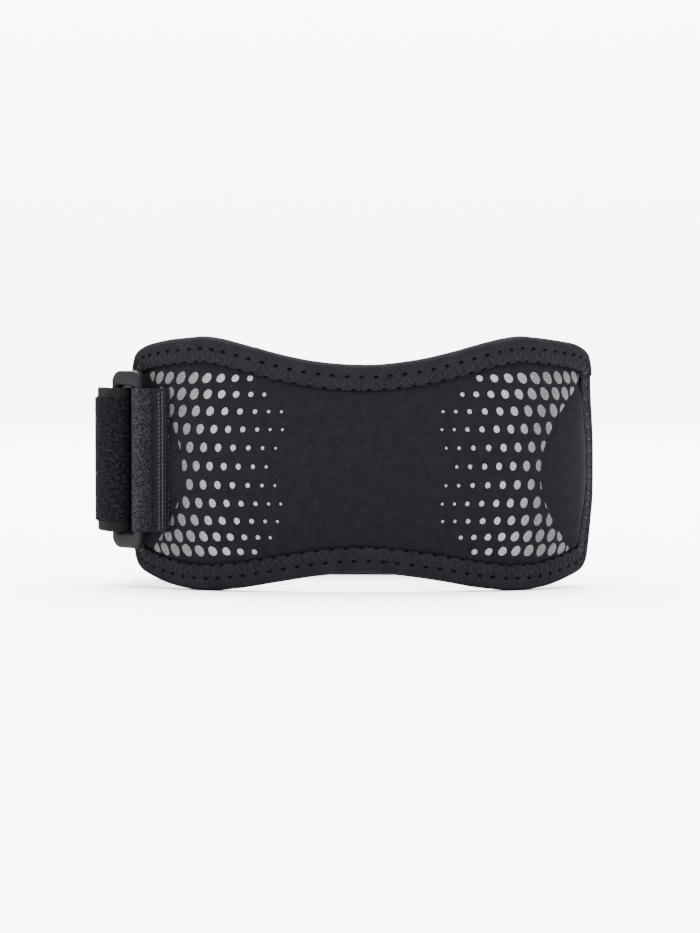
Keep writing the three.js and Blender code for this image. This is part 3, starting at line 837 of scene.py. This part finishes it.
PRINT_SEAM_GAP = 0.55
PRINT_ROW_STEP = 5.13
PRINT_BOW_ABOVE = 0.0125
PRINT_BOW_BELOW = 0.019
PRINT_LEAN = 1.55
DOT_PITCH = 3.35
DOT_START = 26
DOT_GROWTH = 0.096
DOT_SMALLEST = 0.72
DOT_LARGEST = 3.95
DOT_CORNERS = 28
DOT_RINGS = 3
DOT_OUT = 0.045
DOT_RIM_OUT = 0.005


def print_room(along, up):
    """Positive where the print may lie: inside the seam and short of the bare end zone."""
    from_seam = outline_distance(along, up) - BIND_WIDTH - PRINT_SEAM_GAP
    return np.minimum(from_seam, -0.7 * past_print(along, up))


def print_pitch(along):
    return DOT_PITCH + 0.8 * smoothstep(along, 22, 31) - 0.45 * smoothstep(along, 49, 58)


def row_height(row):
    bow = PRINT_BOW_ABOVE if row > 0 else PRINT_BOW_BELOW
    return PRINT_CENTRE + PRINT_ROW_STEP * row - bow * row ** 3


def print_dots():
    """Each dot's place and size: (along, up, long half axis, short half axis, lean)."""
    dots = []
    for row, first_right, first_left, spacing in PRINT_ROWS:
        up = row_height(row)
        edge = 1 + 0.27 * ((up - PRINT_CENTRE) / 24) ** 2
        for side, along in ((1, first_right), (-1, first_left)):
            while along < PAD_HALF - 8:
                long_axis = max(DOT_SMALLEST, 0.88 + DOT_GROWTH * (along - DOT_START))
                long_axis = min(long_axis * edge, DOT_LARGEST)
                short_axis = min(long_axis * 0.95, max(0.6, long_axis * (1.03 - 0.1 * long_axis)))
                lean = math.atan2(up - PRINT_CENTRE, face_plan(along)[0])
                dots.append((side * along, up, long_axis / 2, short_axis / 2, side * lean))
                along += float(print_pitch(along)) * spacing
    return dots


def cut_dot(middle, reach):
    """A dot's middle, moved into the print's room, and its rim cut there. None if nothing is left."""
    trial = np.linspace(0, 1, 9)
    spots = middle + reach[:, None, :] * trial[:, None]
    room = print_room(spots[..., 0], spots[..., 1])
    rim = middle + reach
    if room[0, 0] <= 0.05:
        best = np.unravel_index(np.argmax(room), room.shape)
        if room[best] < 0.12:
            return None
        middle = spots[best]
    low = np.zeros(len(rim))
    high = np.ones(len(rim))
    inside = print_room(rim[:, 0], rim[:, 1]) > 0
    for _ in range(9):
        halfway = (low + high) / 2
        at = middle + (rim - middle) * halfway[:, None]
        good = print_room(at[:, 0], at[:, 1]) > 0
        low = np.where(good, halfway, low)
        high = np.where(good, high, halfway)
    return middle, middle + (rim - middle) * np.where(inside, 1.0, low)[:, None]


def make_print(material):
    """The dots as one mesh of thin discs that follow the pad's face, cut to the print's room."""
    angle = np.arange(DOT_CORNERS) / DOT_CORNERS * 2 * math.pi
    rng = np.random.default_rng(SEED)
    k = np.arange(DOT_CORNERS)
    k2 = (k + 1) % DOT_CORNERS
    fan = np.stack([np.zeros(DOT_CORNERS, int), 1 + k, 1 + k2], -1)
    first = 1 + np.arange(DOT_RINGS - 1)[:, None] * DOT_CORNERS
    after = first + DOT_CORNERS
    bands = np.stack([first + k, after + k, after + k2, first + k2], -1).reshape(-1, 4)
    out = np.full(1 + DOT_RINGS * DOT_CORNERS, DOT_OUT)
    out[-DOT_CORNERS:] = DOT_RIM_OUT
    points, uvs, quads, tris = [], [], [], []
    for along, up, long_half, short_half, lean in print_dots():
        wobble = 1 + 0.025 * np.sin(3 * angle + rng.uniform(0, 6)) + 0.02 * rng.standard_normal(DOT_CORNERS)
        a = np.cos(angle) * short_half * wobble
        b = np.sin(angle) * long_half * wobble
        c, s = math.cos(lean * PRINT_LEAN), math.sin(lean * PRINT_LEAN)
        cut = cut_dot(np.array([along, up]), np.stack([a * c - b * s, a * s + b * c], -1))
        if cut is None:
            continue
        middle, rim = cut
        discs = [middle + (rim - middle) * (ring / DOT_RINGS) for ring in range(1, DOT_RINGS + 1)]
        flat = np.concatenate([middle[None], *discs])
        base = len(out) * len(points)
        points.append(pad_points(flat[:, 0], pad_front_out(flat[:, 0], flat[:, 1]) + out, flat[:, 1]))
        uvs.append(flat)
        quads.append(bands + base)
        tris.append(fan + base)
    faces = [np.concatenate(quads), np.concatenate(tris)]
    dots = make_mesh("printed_dots", np.concatenate(points), faces, material, np.concatenate(uvs))


# Ring

RING_RIGHT = np.array([math.cos(RING_HEADING), -math.sin(RING_HEADING)])
RING_OUT = np.array([-math.sin(RING_HEADING), -math.cos(RING_HEADING)])
NEAR_BAR = face_plan(-RING_BAR_ALONG) + face_outward_plan(-RING_BAR_ALONG) * RING_STAND_OFF
BAR_SPACING = SLOT_WIDTH + RING_BAR
FAR_BAR = NEAR_BAR - RING_RIGHT * BAR_SPACING
RING_CROWN = 0.10


def rounded_rectangle(width, height, radius, corner_steps=12, side_steps=14):
    """Points round a rectangle with round corners, the same number for any size."""
    x, y = width / 2 - radius, height / 2 - radius
    out = []
    corners = [(x, y, 0), (-x, y, 90), (-x, -y, 180), (x, -y, 270)]
    for i, (cx, cy, start) in enumerate(corners):
        angles = np.radians(start + np.linspace(0, 90, corner_steps))
        arc = np.stack([cx + radius * np.cos(angles), cy + radius * np.sin(angles)], -1)
        nx, ny, after = corners[(i + 1) % 4]
        turn = math.radians(after)
        target = np.array([nx + radius * math.cos(turn), ny + radius * math.sin(turn)])
        t = np.linspace(0, 1, side_steps + 2)[1:-1, None]
        out += [arc, arc[-1] * (1 - t) + target * t]
    return np.concatenate(out)


def make_ring(material):
    """A section with round edges and crowned faces, swept from the outer edge to the slot's."""
    outer = rounded_rectangle(SLOT_WIDTH + 2 * RING_BAR, SLOT_HEIGHT + 2 * RING_ARM, RING_CORNER)
    across = rounded_rectangle(SLOT_WIDTH, SLOT_HEIGHT, SLOT_CORNER) - outer
    width = np.linalg.norm(across, axis=1)[:, None]
    r = RING_EDGE_ROUND
    half = RING_THICK / 2 - r
    centre = NEAR_BAR - RING_RIGHT * BAR_SPACING / 2
    rings = []
    for start, at_slot, cz in ((180, False, half), (90, True, half), (0, True, -half), (270, False, -half)):
        angles = np.radians(start - np.linspace(0, 90, 6))
        along = (width - r if at_slot else r) + r * np.cos(angles)
        along = np.broadcast_to(along, (len(width), len(angles)))
        crown = RING_CROWN * np.sin(np.clip(along / width, 0, 1) * math.pi) * np.sign(cz)
        flat = outer[:, None, :] + unit(across)[:, None, :] * along[..., None]
        out = cz + r * np.sin(angles) + crown
        plan = centre + flat[..., :1] * RING_RIGHT + out[..., None] * RING_OUT
        rings.append(np.concatenate([plan, BAND_CENTRE + flat[..., 1:]], -1))
    ring = ring_mesh("moulded_ring", np.concatenate(rings, 1), material, closed=True)
    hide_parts("buckle_ring")


# Bands: flat strips that follow a path in plan

BAND_STEP = 0.6


class Band:
    """Stations of a strip: plan points, unit vectors out of its face, low edges and leans."""

    def __init__(self, plan, out, low, lean):
        self.plan = plan
        self.out = out
        self.low = np.broadcast_to(np.asarray(low, float), len(plan)).copy()
        self.lean = np.broadcast_to(np.asarray(lean, float), len(plan)).copy()
        self.travelled = distances(plan)

    def at(self, wanted):
        """Plan points, outward vectors, low edges and leans at the wanted distances."""
        plan = interpolate(wanted, self.travelled, self.plan)
        out = unit(interpolate(wanted, self.travelled, self.out))
        low = np.interp(wanted, self.travelled, self.low)
        return plan, out, low, np.interp(wanted, self.travelled, self.lean)

    def resampled(self, step):
        count = max(2, int(round(self.travelled[-1] / step)) + 1)
        return Band(*self.at(np.linspace(0, self.travelled[-1], count)))

    def points(self, out, up):
        """Points that stand out from the band's middle by out, at a height up from its low edge."""
        reach = out + self.lean[:, None] * up
        plan = self.plan[:, None, :] + self.out[:, None, :] * reach[..., None]
        height = np.broadcast_to(self.low[:, None] + up, reach.shape)
        return np.concatenate([plan, height[..., None]], -1)


def band_mesh(name, band, half_thick, up, material, rough):
    """A closed strip: its half thickness at each height up, and what is added out of its face."""
    up = np.concatenate([up, up[::-1]])[None, :]
    out = np.concatenate([half_thick, -half_thick[::-1]]) + rough
    uv = np.stack(np.broadcast_arrays(band.travelled[:, None], up), -1)
    return ring_mesh(name, band.points(out, up), material, uv)


def rounded_edges(up, low, high, radius, least):
    """Share of the full thickness at each height of a strip whose edges are round."""
    edge = np.minimum(up - low, high - up)
    return np.sqrt(np.clip(1 - (1 - np.clip(edge / radius, 0, 1)) ** 2, least, 1))


def heights(length, count):
    """Heights up a strip, closer together near both its edges."""
    return length * (0.5 - 0.5 * np.cos(np.linspace(0, math.pi, count)))


# Tab

TAB_LOW = BAND_CENTRE - TAB_HEIGHT / 2
TAB_STITCH_ROWS = (57.4, 56.15)
TAB_STITCH = 1.15
TAB_THREAD = 0.17
TAB_CREASE = 0.3
TAB_WEAVE = 0.022


def round_bar(gap, angles):
    """Points round the near bar at a gap from it."""
    power = 2 / 2.6
    c, s = np.cos(angles)[:, None], np.sin(angles)[:, None]
    right = np.sign(c) * (RING_BAR / 2 + gap) * np.abs(c) ** power
    out = np.sign(s) * (RING_THICK / 2 + gap) * np.abs(s) ** power
    return NEAR_BAR + right * RING_RIGHT + out * RING_OUT


def smooth_path(points, step, rounds):
    """Evenly spaced points along a path, with its corners eased."""
    travelled = distances(points)
    wanted = np.linspace(0, travelled[-1], int(travelled[-1] / step) + 1)
    out = interpolate(wanted, travelled, points)
    for _ in range(rounds):
        out[1:-1] = 0.25 * out[:-2] + 0.5 * out[1:-1] + 0.25 * out[2:]
    return out


def path_normals(points):
    run = unit(np.gradient(points, axis=0))
    return np.stack([run[:, 1], -run[:, 0]], -1)


def tab_path():
    """Middle of the webbing: its outer layer, round the bar, and its inner layer."""
    along = -np.linspace(TAB_END, TAB_GROOVE, 24)
    crease = TAB_CREASE * np.exp(-((-along - TAB_GROOVE) / 0.7) ** 2)[:, None]
    outer = face_plan(along) + face_outward_plan(along) * (CLEARANCE + TAB_CLOTH * 1.5 - 0.05 - crease)
    inner = face_plan(along) + face_outward_plan(along) * (CLEARANCE + TAB_CLOTH * 0.5)
    turn = round_bar(CLEARANCE + TAB_CLOTH / 2, np.radians(np.linspace(20, 322, 54)))
    return np.concatenate([outer, turn, inner[::-1]])


def make_tab(material):
    path = smooth_path(tab_path(), 0.25, 2)
    band = Band(path, -path_normals(path), TAB_LOW, 0)
    up = heights(TAB_HEIGHT, 110)
    half = TAB_CLOTH / 2 * rounded_edges(up, 0, TAB_HEIGHT, 0.4, 0.12) * 0.94
    weave = lumps(np.random.default_rng(SEED), len(path), 2 * len(up), 3) * TAB_WEAVE
    tab = band_mesh("ring_tab_webbing", band, half, up, material, weave)
    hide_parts("ring_tab")


def make_tab_stitches(material):
    """Two upright rows of lock stitches that hold the tab on the pad's face."""
    paths = []
    t = np.linspace(0, 1, 7)
    for row, along in enumerate(TAB_STITCH_ROWS):
        for i in range(int((TAB_HEIGHT - 1.6) / TAB_STITCH)):
            up = TAB_LOW + 0.8 + (i + 0.3 * row + 0.82 * t) * TAB_STITCH
            out = CLEARANCE + 2 * TAB_CLOTH + 0.02 + 0.13 * np.sin(t * math.pi) ** 0.6
            paths.append(pad_points(-along + 0.10 * (t - 0.5), out, up))
    stitches = thread_mesh("tab_stitches", paths, TAB_THREAD, material)


# Closure strap

OUTER_STEP = 0.55
OUTER_LAYER_DROP = 3.2
FOLD_DROP = 0.1
FOLD_FULLER = 0.6
PILE_LUMPS = 0.06
CURVE_SHARE = 0.56
ENTRY_SHARE = 0.28
FOLD_FIBRES = 13000
OTHER_FIBRES = 20000
FIBRE_STEPS = 4
FIBRE_LENGTHS = (0.35, 0.8)
FIBRE_RISE = 0.34
FIBRE_WIDTH = 0.035


def bezier(start, start_turn, start_handle, end, end_turn, end_handle, steps=80):
    lead = start + start_handle * np.array([math.cos(start_turn), math.sin(start_turn)])
    trail = end - end_handle * np.array([math.cos(end_turn), math.sin(end_turn)])
    t = np.linspace(0, 1, steps)[:, None]
    return (1 - t) ** 3 * start + 3 * (1 - t) ** 2 * t * lead + 3 * (1 - t) * t ** 2 * trail + t ** 3 * end


def inner_leg():
    """The strap from the pad's right end round the back to the ring's far bar."""
    sewn_out = -PAD_THICK / 2 - BIND_OUTER - CLEARANCE - STRAP_THICK / 2
    along = np.linspace(PAD_HALF - STRAP_SEWN, PAD_HALF, 20)
    sewn = face_plan(along) + face_outward_plan(along) * sewn_out
    right_end = sewn[-1]
    back = np.array([LOOP_BACK_SHIFT, LOOP_DEPTH])
    right = bezier(
        right_end, PAD_END_HEADING, (back[1] - right_end[1]) * CURVE_SHARE,
        back, math.pi, (right_end[0] - back[0]) * CURVE_SHARE,
    )
    edge = (RING_BAR - RING_THICK) / 2
    entry = FAR_BAR + RING_RIGHT * edge - RING_OUT * FOLD_RADIUS
    widest = entry + [-ENTRY_TURN * (1 - math.sin(RING_HEADING)), ENTRY_TURN * math.cos(RING_HEADING)]
    left = bezier(
        back, math.pi, (back[0] - widest[0]) * CURVE_SHARE,
        widest, -math.pi / 2, (back[1] - widest[1]) * CURVE_SHARE,
    )
    handle = ENTRY_TURN * ENTRY_SHARE
    turn = bezier(widest, -math.pi / 2, handle, entry, -RING_HEADING, handle)
    plan = np.concatenate([sewn, right[1:], left[1:], turn[1:]])
    band = Band(plan, path_normals(plan), 0, 0)
    total = band.travelled[-1]
    to_back = band.travelled[len(sewn) + len(right) - 2]
    share_round = np.where(
        band.travelled <= to_back,
        band.travelled / to_back,
        (total - band.travelled) / (total - to_back),
    )
    sunk = smoothstep(share_round, LEVEL_SHARE, 1 - REST_SHARE)
    band.low = STRAP_LOW * (1 - sunk)
    band.lean = math.tan(STRAP_LEAN) * sunk
    band.out[-1] = RING_OUT
    return band.resampled(BAND_STEP)


def beside(leg, start, end, spacing):
    """The leg's stations from the ring back, moved out by a spacing."""
    distance = np.arange(start, end, BAND_STEP)
    plan, out, low, lean = leg.at(leg.travelled[-1] - distance)
    return distance, Band(plan + out * np.reshape(spacing(distance), (-1, 1)), out, low, lean)


def strap_band(leg):
    """The whole strap: inner leg, half turn round the far bar, outer leg, lower beside the ring."""
    centre = leg.plan[-1] + RING_OUT * FOLD_RADIUS
    angles = np.linspace(0, math.pi, 26)[1:-1, None]
    fold_out = RING_OUT * np.cos(angles) - RING_RIGHT * np.sin(angles)
    fold_plan = centre - fold_out * FOLD_RADIUS

    def spacing(distance):
        merged = smoothstep(distance, 0, LEG_MERGE)
        return 2 * FOLD_RADIUS + (LEG_SPACING - 2 * FOLD_RADIUS) * merged

    from_ring, outer = beside(leg, 0, FOLD_OVERLAP, spacing)
    outer.low -= OUTER_LAYER_DROP * smoothstep(from_ring, 3, 28) * (1 - smoothstep(from_ring, 42, 72))
    turns = len(fold_plan)
    band = Band(
        np.concatenate([leg.plan, fold_plan, outer.plan]),
        np.concatenate([leg.out, fold_out, -outer.out]),
        np.concatenate([leg.low, np.full(turns, leg.low[-1]), outer.low]),
        np.concatenate([leg.lean, np.full(turns, leg.lean[-1]), -outer.lean]),
    )
    return band.resampled(OUTER_STEP)


def pile_profile(up):
    """How far the pile stands from the tape at each height: nothing on the selvedges."""
    low = smoothstep(up, STRAP_MARGIN - 0.15, STRAP_MARGIN + 0.75)
    high = smoothstep(STRAP_WIDTH - up, STRAP_MARGIN - 0.15, STRAP_MARGIN + 0.75)
    return STRAP_PILE * np.sqrt(low * high)


def lumps(rng, rows, columns, spread):
    """Soft random lumps over a grid, about one unit high."""
    field = rng.standard_normal((rows, columns))
    kernel = np.exp(-np.linspace(-2, 2, spread) ** 2)
    kernel /= kernel.sum()
    for direction in (0, 1):
        field = np.apply_along_axis(lambda v: np.convolve(v, kernel, mode="same"), direction, field)
    return field / field.std()


def make_strap(leg, pile_material, selvedge):
    """The strap's cloth. Where it turns through the ring its selvedges are fuller and a little lower."""
    band = strap_band(leg)
    fold_at = leg.travelled[-1] + FOLD_RADIUS * math.pi / 2
    lower = np.concatenate([
        np.linspace(0, STRAP_MARGIN - 0.3, 8),
        np.linspace(STRAP_MARGIN - 0.15, STRAP_MARGIN + 1.0, 7),
    ])
    middle = np.linspace(STRAP_MARGIN + 1.6, STRAP_WIDTH - STRAP_MARGIN - 1.6, 48)
    up = np.concatenate([lower, middle, STRAP_WIDTH - lower[::-1]])
    tape = STRAP_BASE / 2 * rounded_edges(up, 0, STRAP_WIDTH, 0.5, 0.1)
    pile = pile_profile(up)
    count = len(band.plan)
    share = pile / STRAP_PILE
    weight = np.concatenate([share, -share[::-1]])
    rough = lumps(np.random.default_rng(SEED), count, len(weight), 5) * PILE_LUMPS * weight
    turned = 1 - smoothstep(np.abs(band.travelled - fold_at), 3, 8)
    fuller = np.concatenate([np.zeros(len(up)), FOLD_FULLER * (share - 1)[::-1]])
    rough = rough + turned[:, None] * fuller
    band.low -= FOLD_DROP * turned
    half = np.minimum(tape + pile * 0.9, STRAP_THICK / 2 - 0.05)
    strap = band_mesh("closure_strap_cloth", band, half, up, pile_material, rough)
    strap.data.materials.append(selvedge)
    around = np.concatenate([up, up[::-1]])
    on_margin = (around < STRAP_MARGIN + 0.1) | (around > STRAP_WIDTH - STRAP_MARGIN - 0.1)
    slots = np.zeros(len(strap.data.polygons), np.int32)
    slots[:(count - 1) * len(around)] = np.tile(on_margin & np.roll(on_margin, -1), count - 1)
    strap.data.polygons.foreach_set("material_index", slots)
    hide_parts("closure_strap")
    return band


def make_fuzz(band, leg_length, material):
    """Short curled fibres all over the strap's pile, thickest where the strap turns round the ring."""
    rng = np.random.default_rng(SEED + 1)
    total = band.travelled[-1]
    fold_at = leg_length + FOLD_RADIUS * math.pi / 2
    near_fold = rng.normal(fold_at + 6, 9, FOLD_FIBRES)
    anywhere = rng.uniform(2, total - 1, OTHER_FIBRES)
    where = np.clip(np.concatenate([near_fold, anywhere]), 1, total - 1)
    count = len(where)
    up = rng.uniform(STRAP_MARGIN + 0.3, STRAP_WIDTH - STRAP_MARGIN - 0.3, count)
    side = np.where(rng.random(count) < 0.5, 1.0, -1.0)[:, None]
    side[:FOLD_FIBRES] = -1.0
    plan, out, low, lean = band.at(where)
    run = np.stack([-out[:, 1], out[:, 0]], -1)
    root = STRAP_BASE / 2 + pile_profile(up) * 0.9 - 0.12
    t = np.linspace(0, 1, FIBRE_STEPS)
    length = rng.uniform(*FIBRE_LENGTHS, count)
    twist = rng.uniform(0, 2 * math.pi, count)[:, None]
    sweep = (rng.uniform(0.25, 0.7, count) * length)[:, None]
    rise = FIBRE_RISE * length[:, None] * np.sin(t * math.pi * rng.uniform(0.55, 0.95, count)[:, None])
    along = sweep * t * np.cos(twist)
    climb = sweep * t * np.sin(twist)
    reach = side * (root[:, None] + rise) + lean[:, None] * (up[:, None] + climb)
    spine = plan[:, None, :] + out[:, None, :] * reach[..., None] + run[:, None, :] * along[..., None]
    height = (low + up)[:, None] + climb
    spine = np.concatenate([spine, height[..., None]], -1)
    sideways = np.concatenate([-np.sin(twist) * run, np.cos(twist)], 1)[:, None, :]
    half_width = sideways * ((1 - 0.6 * t) * FIBRE_WIDTH)[:, None]
    k = 2 * np.arange(FIBRE_STEPS - 1)
    quad = np.stack([k, k + 1, k + 3, k + 2], -1)
    faces = (quad + (np.arange(count) * FIBRE_STEPS * 2)[:, None, None]).reshape(-1, 4)
    points = np.stack([spine - half_width, spine + half_width], 2)
    uv = np.repeat(np.stack([where, up], -1), FIBRE_STEPS * 2, 0)
    fuzz = make_mesh("strap_fuzz", points, [faces], material, uv)


def make_hook_patch(leg, material):
    """Hook tape under the strap's free end: a thin tape with rows of small hooks facing the inner leg."""
    centre = STRAP_THICK / 2 + CLEARANCE + HOOK_THICK / 2
    end = FOLD_OVERLAP - HOOK_END_MARGIN
    _, band = beside(leg, end - HOOK_LENGTH, end, lambda distance: np.full(len(distance), centre))
    lift = (STRAP_WIDTH - HOOK_HEIGHT) / 2
    up = lift + heights(HOOK_HEIGHT, 40)
    half = HOOK_THICK * 0.28 * rounded_edges(up, lift, lift + HOOK_HEIGHT, 0.3, 0.15)
    tape = band_mesh("hook_tape_strip", band, half, up, material, HOOK_TAPE_OUT)
    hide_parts("hook_patch")
    paths = []
    t = np.linspace(0, 1, 6)
    curl = -0.08 - 0.38 * np.sin(t * 2.2)
    rise = 0.35 * (1 - np.cos(t * 2.4)) / 2
    for distance in np.arange(2, band.travelled[-1] - 1, HOOK_STEP):
        i = int(np.searchsorted(band.travelled, distance))
        for height in np.arange(lift + 1.2, lift + HOOK_HEIGHT - 1, HOOK_ROW_STEP):
            plan = band.plan[i] + band.out[i] * (curl + band.lean[i] * height)[:, None]
            paths.append(np.column_stack([plan, band.low[i] + height + rise]))
    hooks = thread_mesh("hook_tape_hooks", paths, HOOK_WIRE, material, sides=5)


# Studio

CAMERA_DISTANCE = 910.0
CAMERA_ELEVATION = math.radians(2.5)
SENSOR = 36
PIXEL = 0.272
IMAGE = (700, 933)
PAD_CENTRE_PX = 361.5
GROUND_PX = 592.8
FLOOR_RADIUS = 9.0
FLOOR_CORNERS = 96
FLOOR_COLOUR = (0.93, 0.93, 0.945)
SKY_COLOUR = (0.97, 0.97, 0.985, 1)
SKY = 0.6
SKY_BEHIND = 7.4
SKY_RISE = 2.2
SKY_ABOVE = 12.5
SKY_TILT = 0.6
# Each light's name, place, size and power; all are turned to the part
LIGHTS = [
    ("key_above", (0.15, -0.6, 1.2), (1.0, 0.8), 3),
    ("side_right", (0.85, -0.6, 0.3), (0.5, 0.7), 0.5),
    ("side_left", (-1.0, -0.5, 0.4), (0.5, 0.7), 2),
    ("back_above", (0, 0.9, 0.9), (1.2, 0.6), 30),
]
LIGHT_TARGET = Vector((0, 0, 0.03))


def place_looking(name, data, place, target):
    """An object at a place, turned to a target."""
    made = bpy.data.objects.new(name, data)
    bpy.context.scene.collection.objects.link(made)
    made.location = place
    made.rotation_euler = (target - Vector(place)).to_track_quat("-Z", "Y").to_euler()
    return made


def make_camera():
    """At the photograph's angle; its aim puts the pad's middle and foot at their pixels."""
    aim_x = (IMAGE[0] / 2 - PAD_CENTRE_PX) * PIXEL
    aim_z = (GROUND_PX - IMAGE[1] / 2) * PIXEL
    target = Vector(to_frame([aim_x, 0, aim_z])[0])
    away = CAMERA_DISTANCE * MM
    place = target + Vector((0, -away * math.cos(CAMERA_ELEVATION), away * math.sin(CAMERA_ELEVATION)))
    data = bpy.data.cameras.new("camera")
    data.sensor_width = SENSOR
    data.sensor_fit = "VERTICAL"
    data.sensor_height = SENSOR
    data.lens = SENSOR * CAMERA_DISTANCE / (IMAGE[1] * PIXEL)
    data.clip_start = 0.05
    data.clip_end = 20
    bpy.context.scene.camera = place_looking("camera", data, place, target)


def make_sky():
    """A pale sky, brightest behind the part and overhead, where most light comes from behind it."""
    world = bpy.data.worlds.new("studio_world")
    world.use_nodes = True
    tree = world.node_tree
    background = tree.nodes["Background"]
    background.inputs["Color"].default_value = SKY_COLOUR
    way = node(tree, "TexCoord", "Generated", {})
    back, up = axis(tree, way, "Y"), axis(tree, way, "Z")
    overhead = maths(
        tree, "MULTIPLY", map_range(tree, up, 0.5, 0.95, 0, SKY_ABOVE),
        map_range(tree, back, -0.35, 0.35, 1 - SKY_TILT, 1 + SKY_TILT),
    )
    horizon = maths(
        tree, "ADD", map_range(tree, back, 0.88, 0.985, SKY, SKY + SKY_BEHIND),
        map_range(tree, up, 0.0, 0.13, 0, SKY_RISE),
    )
    tree.links.new(maths(tree, "ADD", horizon, overhead), background.inputs["Strength"])
    bpy.context.scene.world = world


def make_studio():
    """A pale floor out to the horizon, the sky and soft lights."""
    turns = np.arange(FLOOR_CORNERS) / FLOOR_CORNERS * 2 * math.pi
    points = [(FLOOR_RADIUS * math.cos(t), FLOOR_RADIUS * math.sin(t), 0.0) for t in turns]
    me = bpy.data.meshes.new("studio_floor")
    me.from_pydata(points, [], [tuple(range(FLOOR_CORNERS))])
    me.materials.append(new_material("studio_white", FLOOR_COLOUR, 0.9, 0.1)[0])
    floor = bpy.data.objects.new("studio_floor", me)
    bpy.context.scene.collection.objects.link(floor)
    make_sky()
    for name, place, size, power in LIGHTS:
        data = bpy.data.lights.new(name, "AREA")
        data.shape = "RECTANGLE"
        data.size, data.size_y = size
        data.energy = power
        place_looking(name, data, place, LIGHT_TARGET)


def main():
    binding = binding_fabric()
    make_camera()
    make_studio()
    make_pad(pad_fabric())
    make_print(print_silver())
    make_binding(binding)
    make_binding_end(binding)
    make_zigzag(thread_material("thread", 0.009, 0.02))
    make_ring(ring_plastic())
    make_tab(tab_webbing())
    make_tab_stitches(thread_material("tab_thread", 0.03, 0.075))
    leg = inner_leg()
    band = make_strap(leg, strap_pile_material(), selvedge_material())
    make_fuzz(band, leg.travelled[-1], fuzz_material())
    make_hook_patch(leg, hook_material())


main()
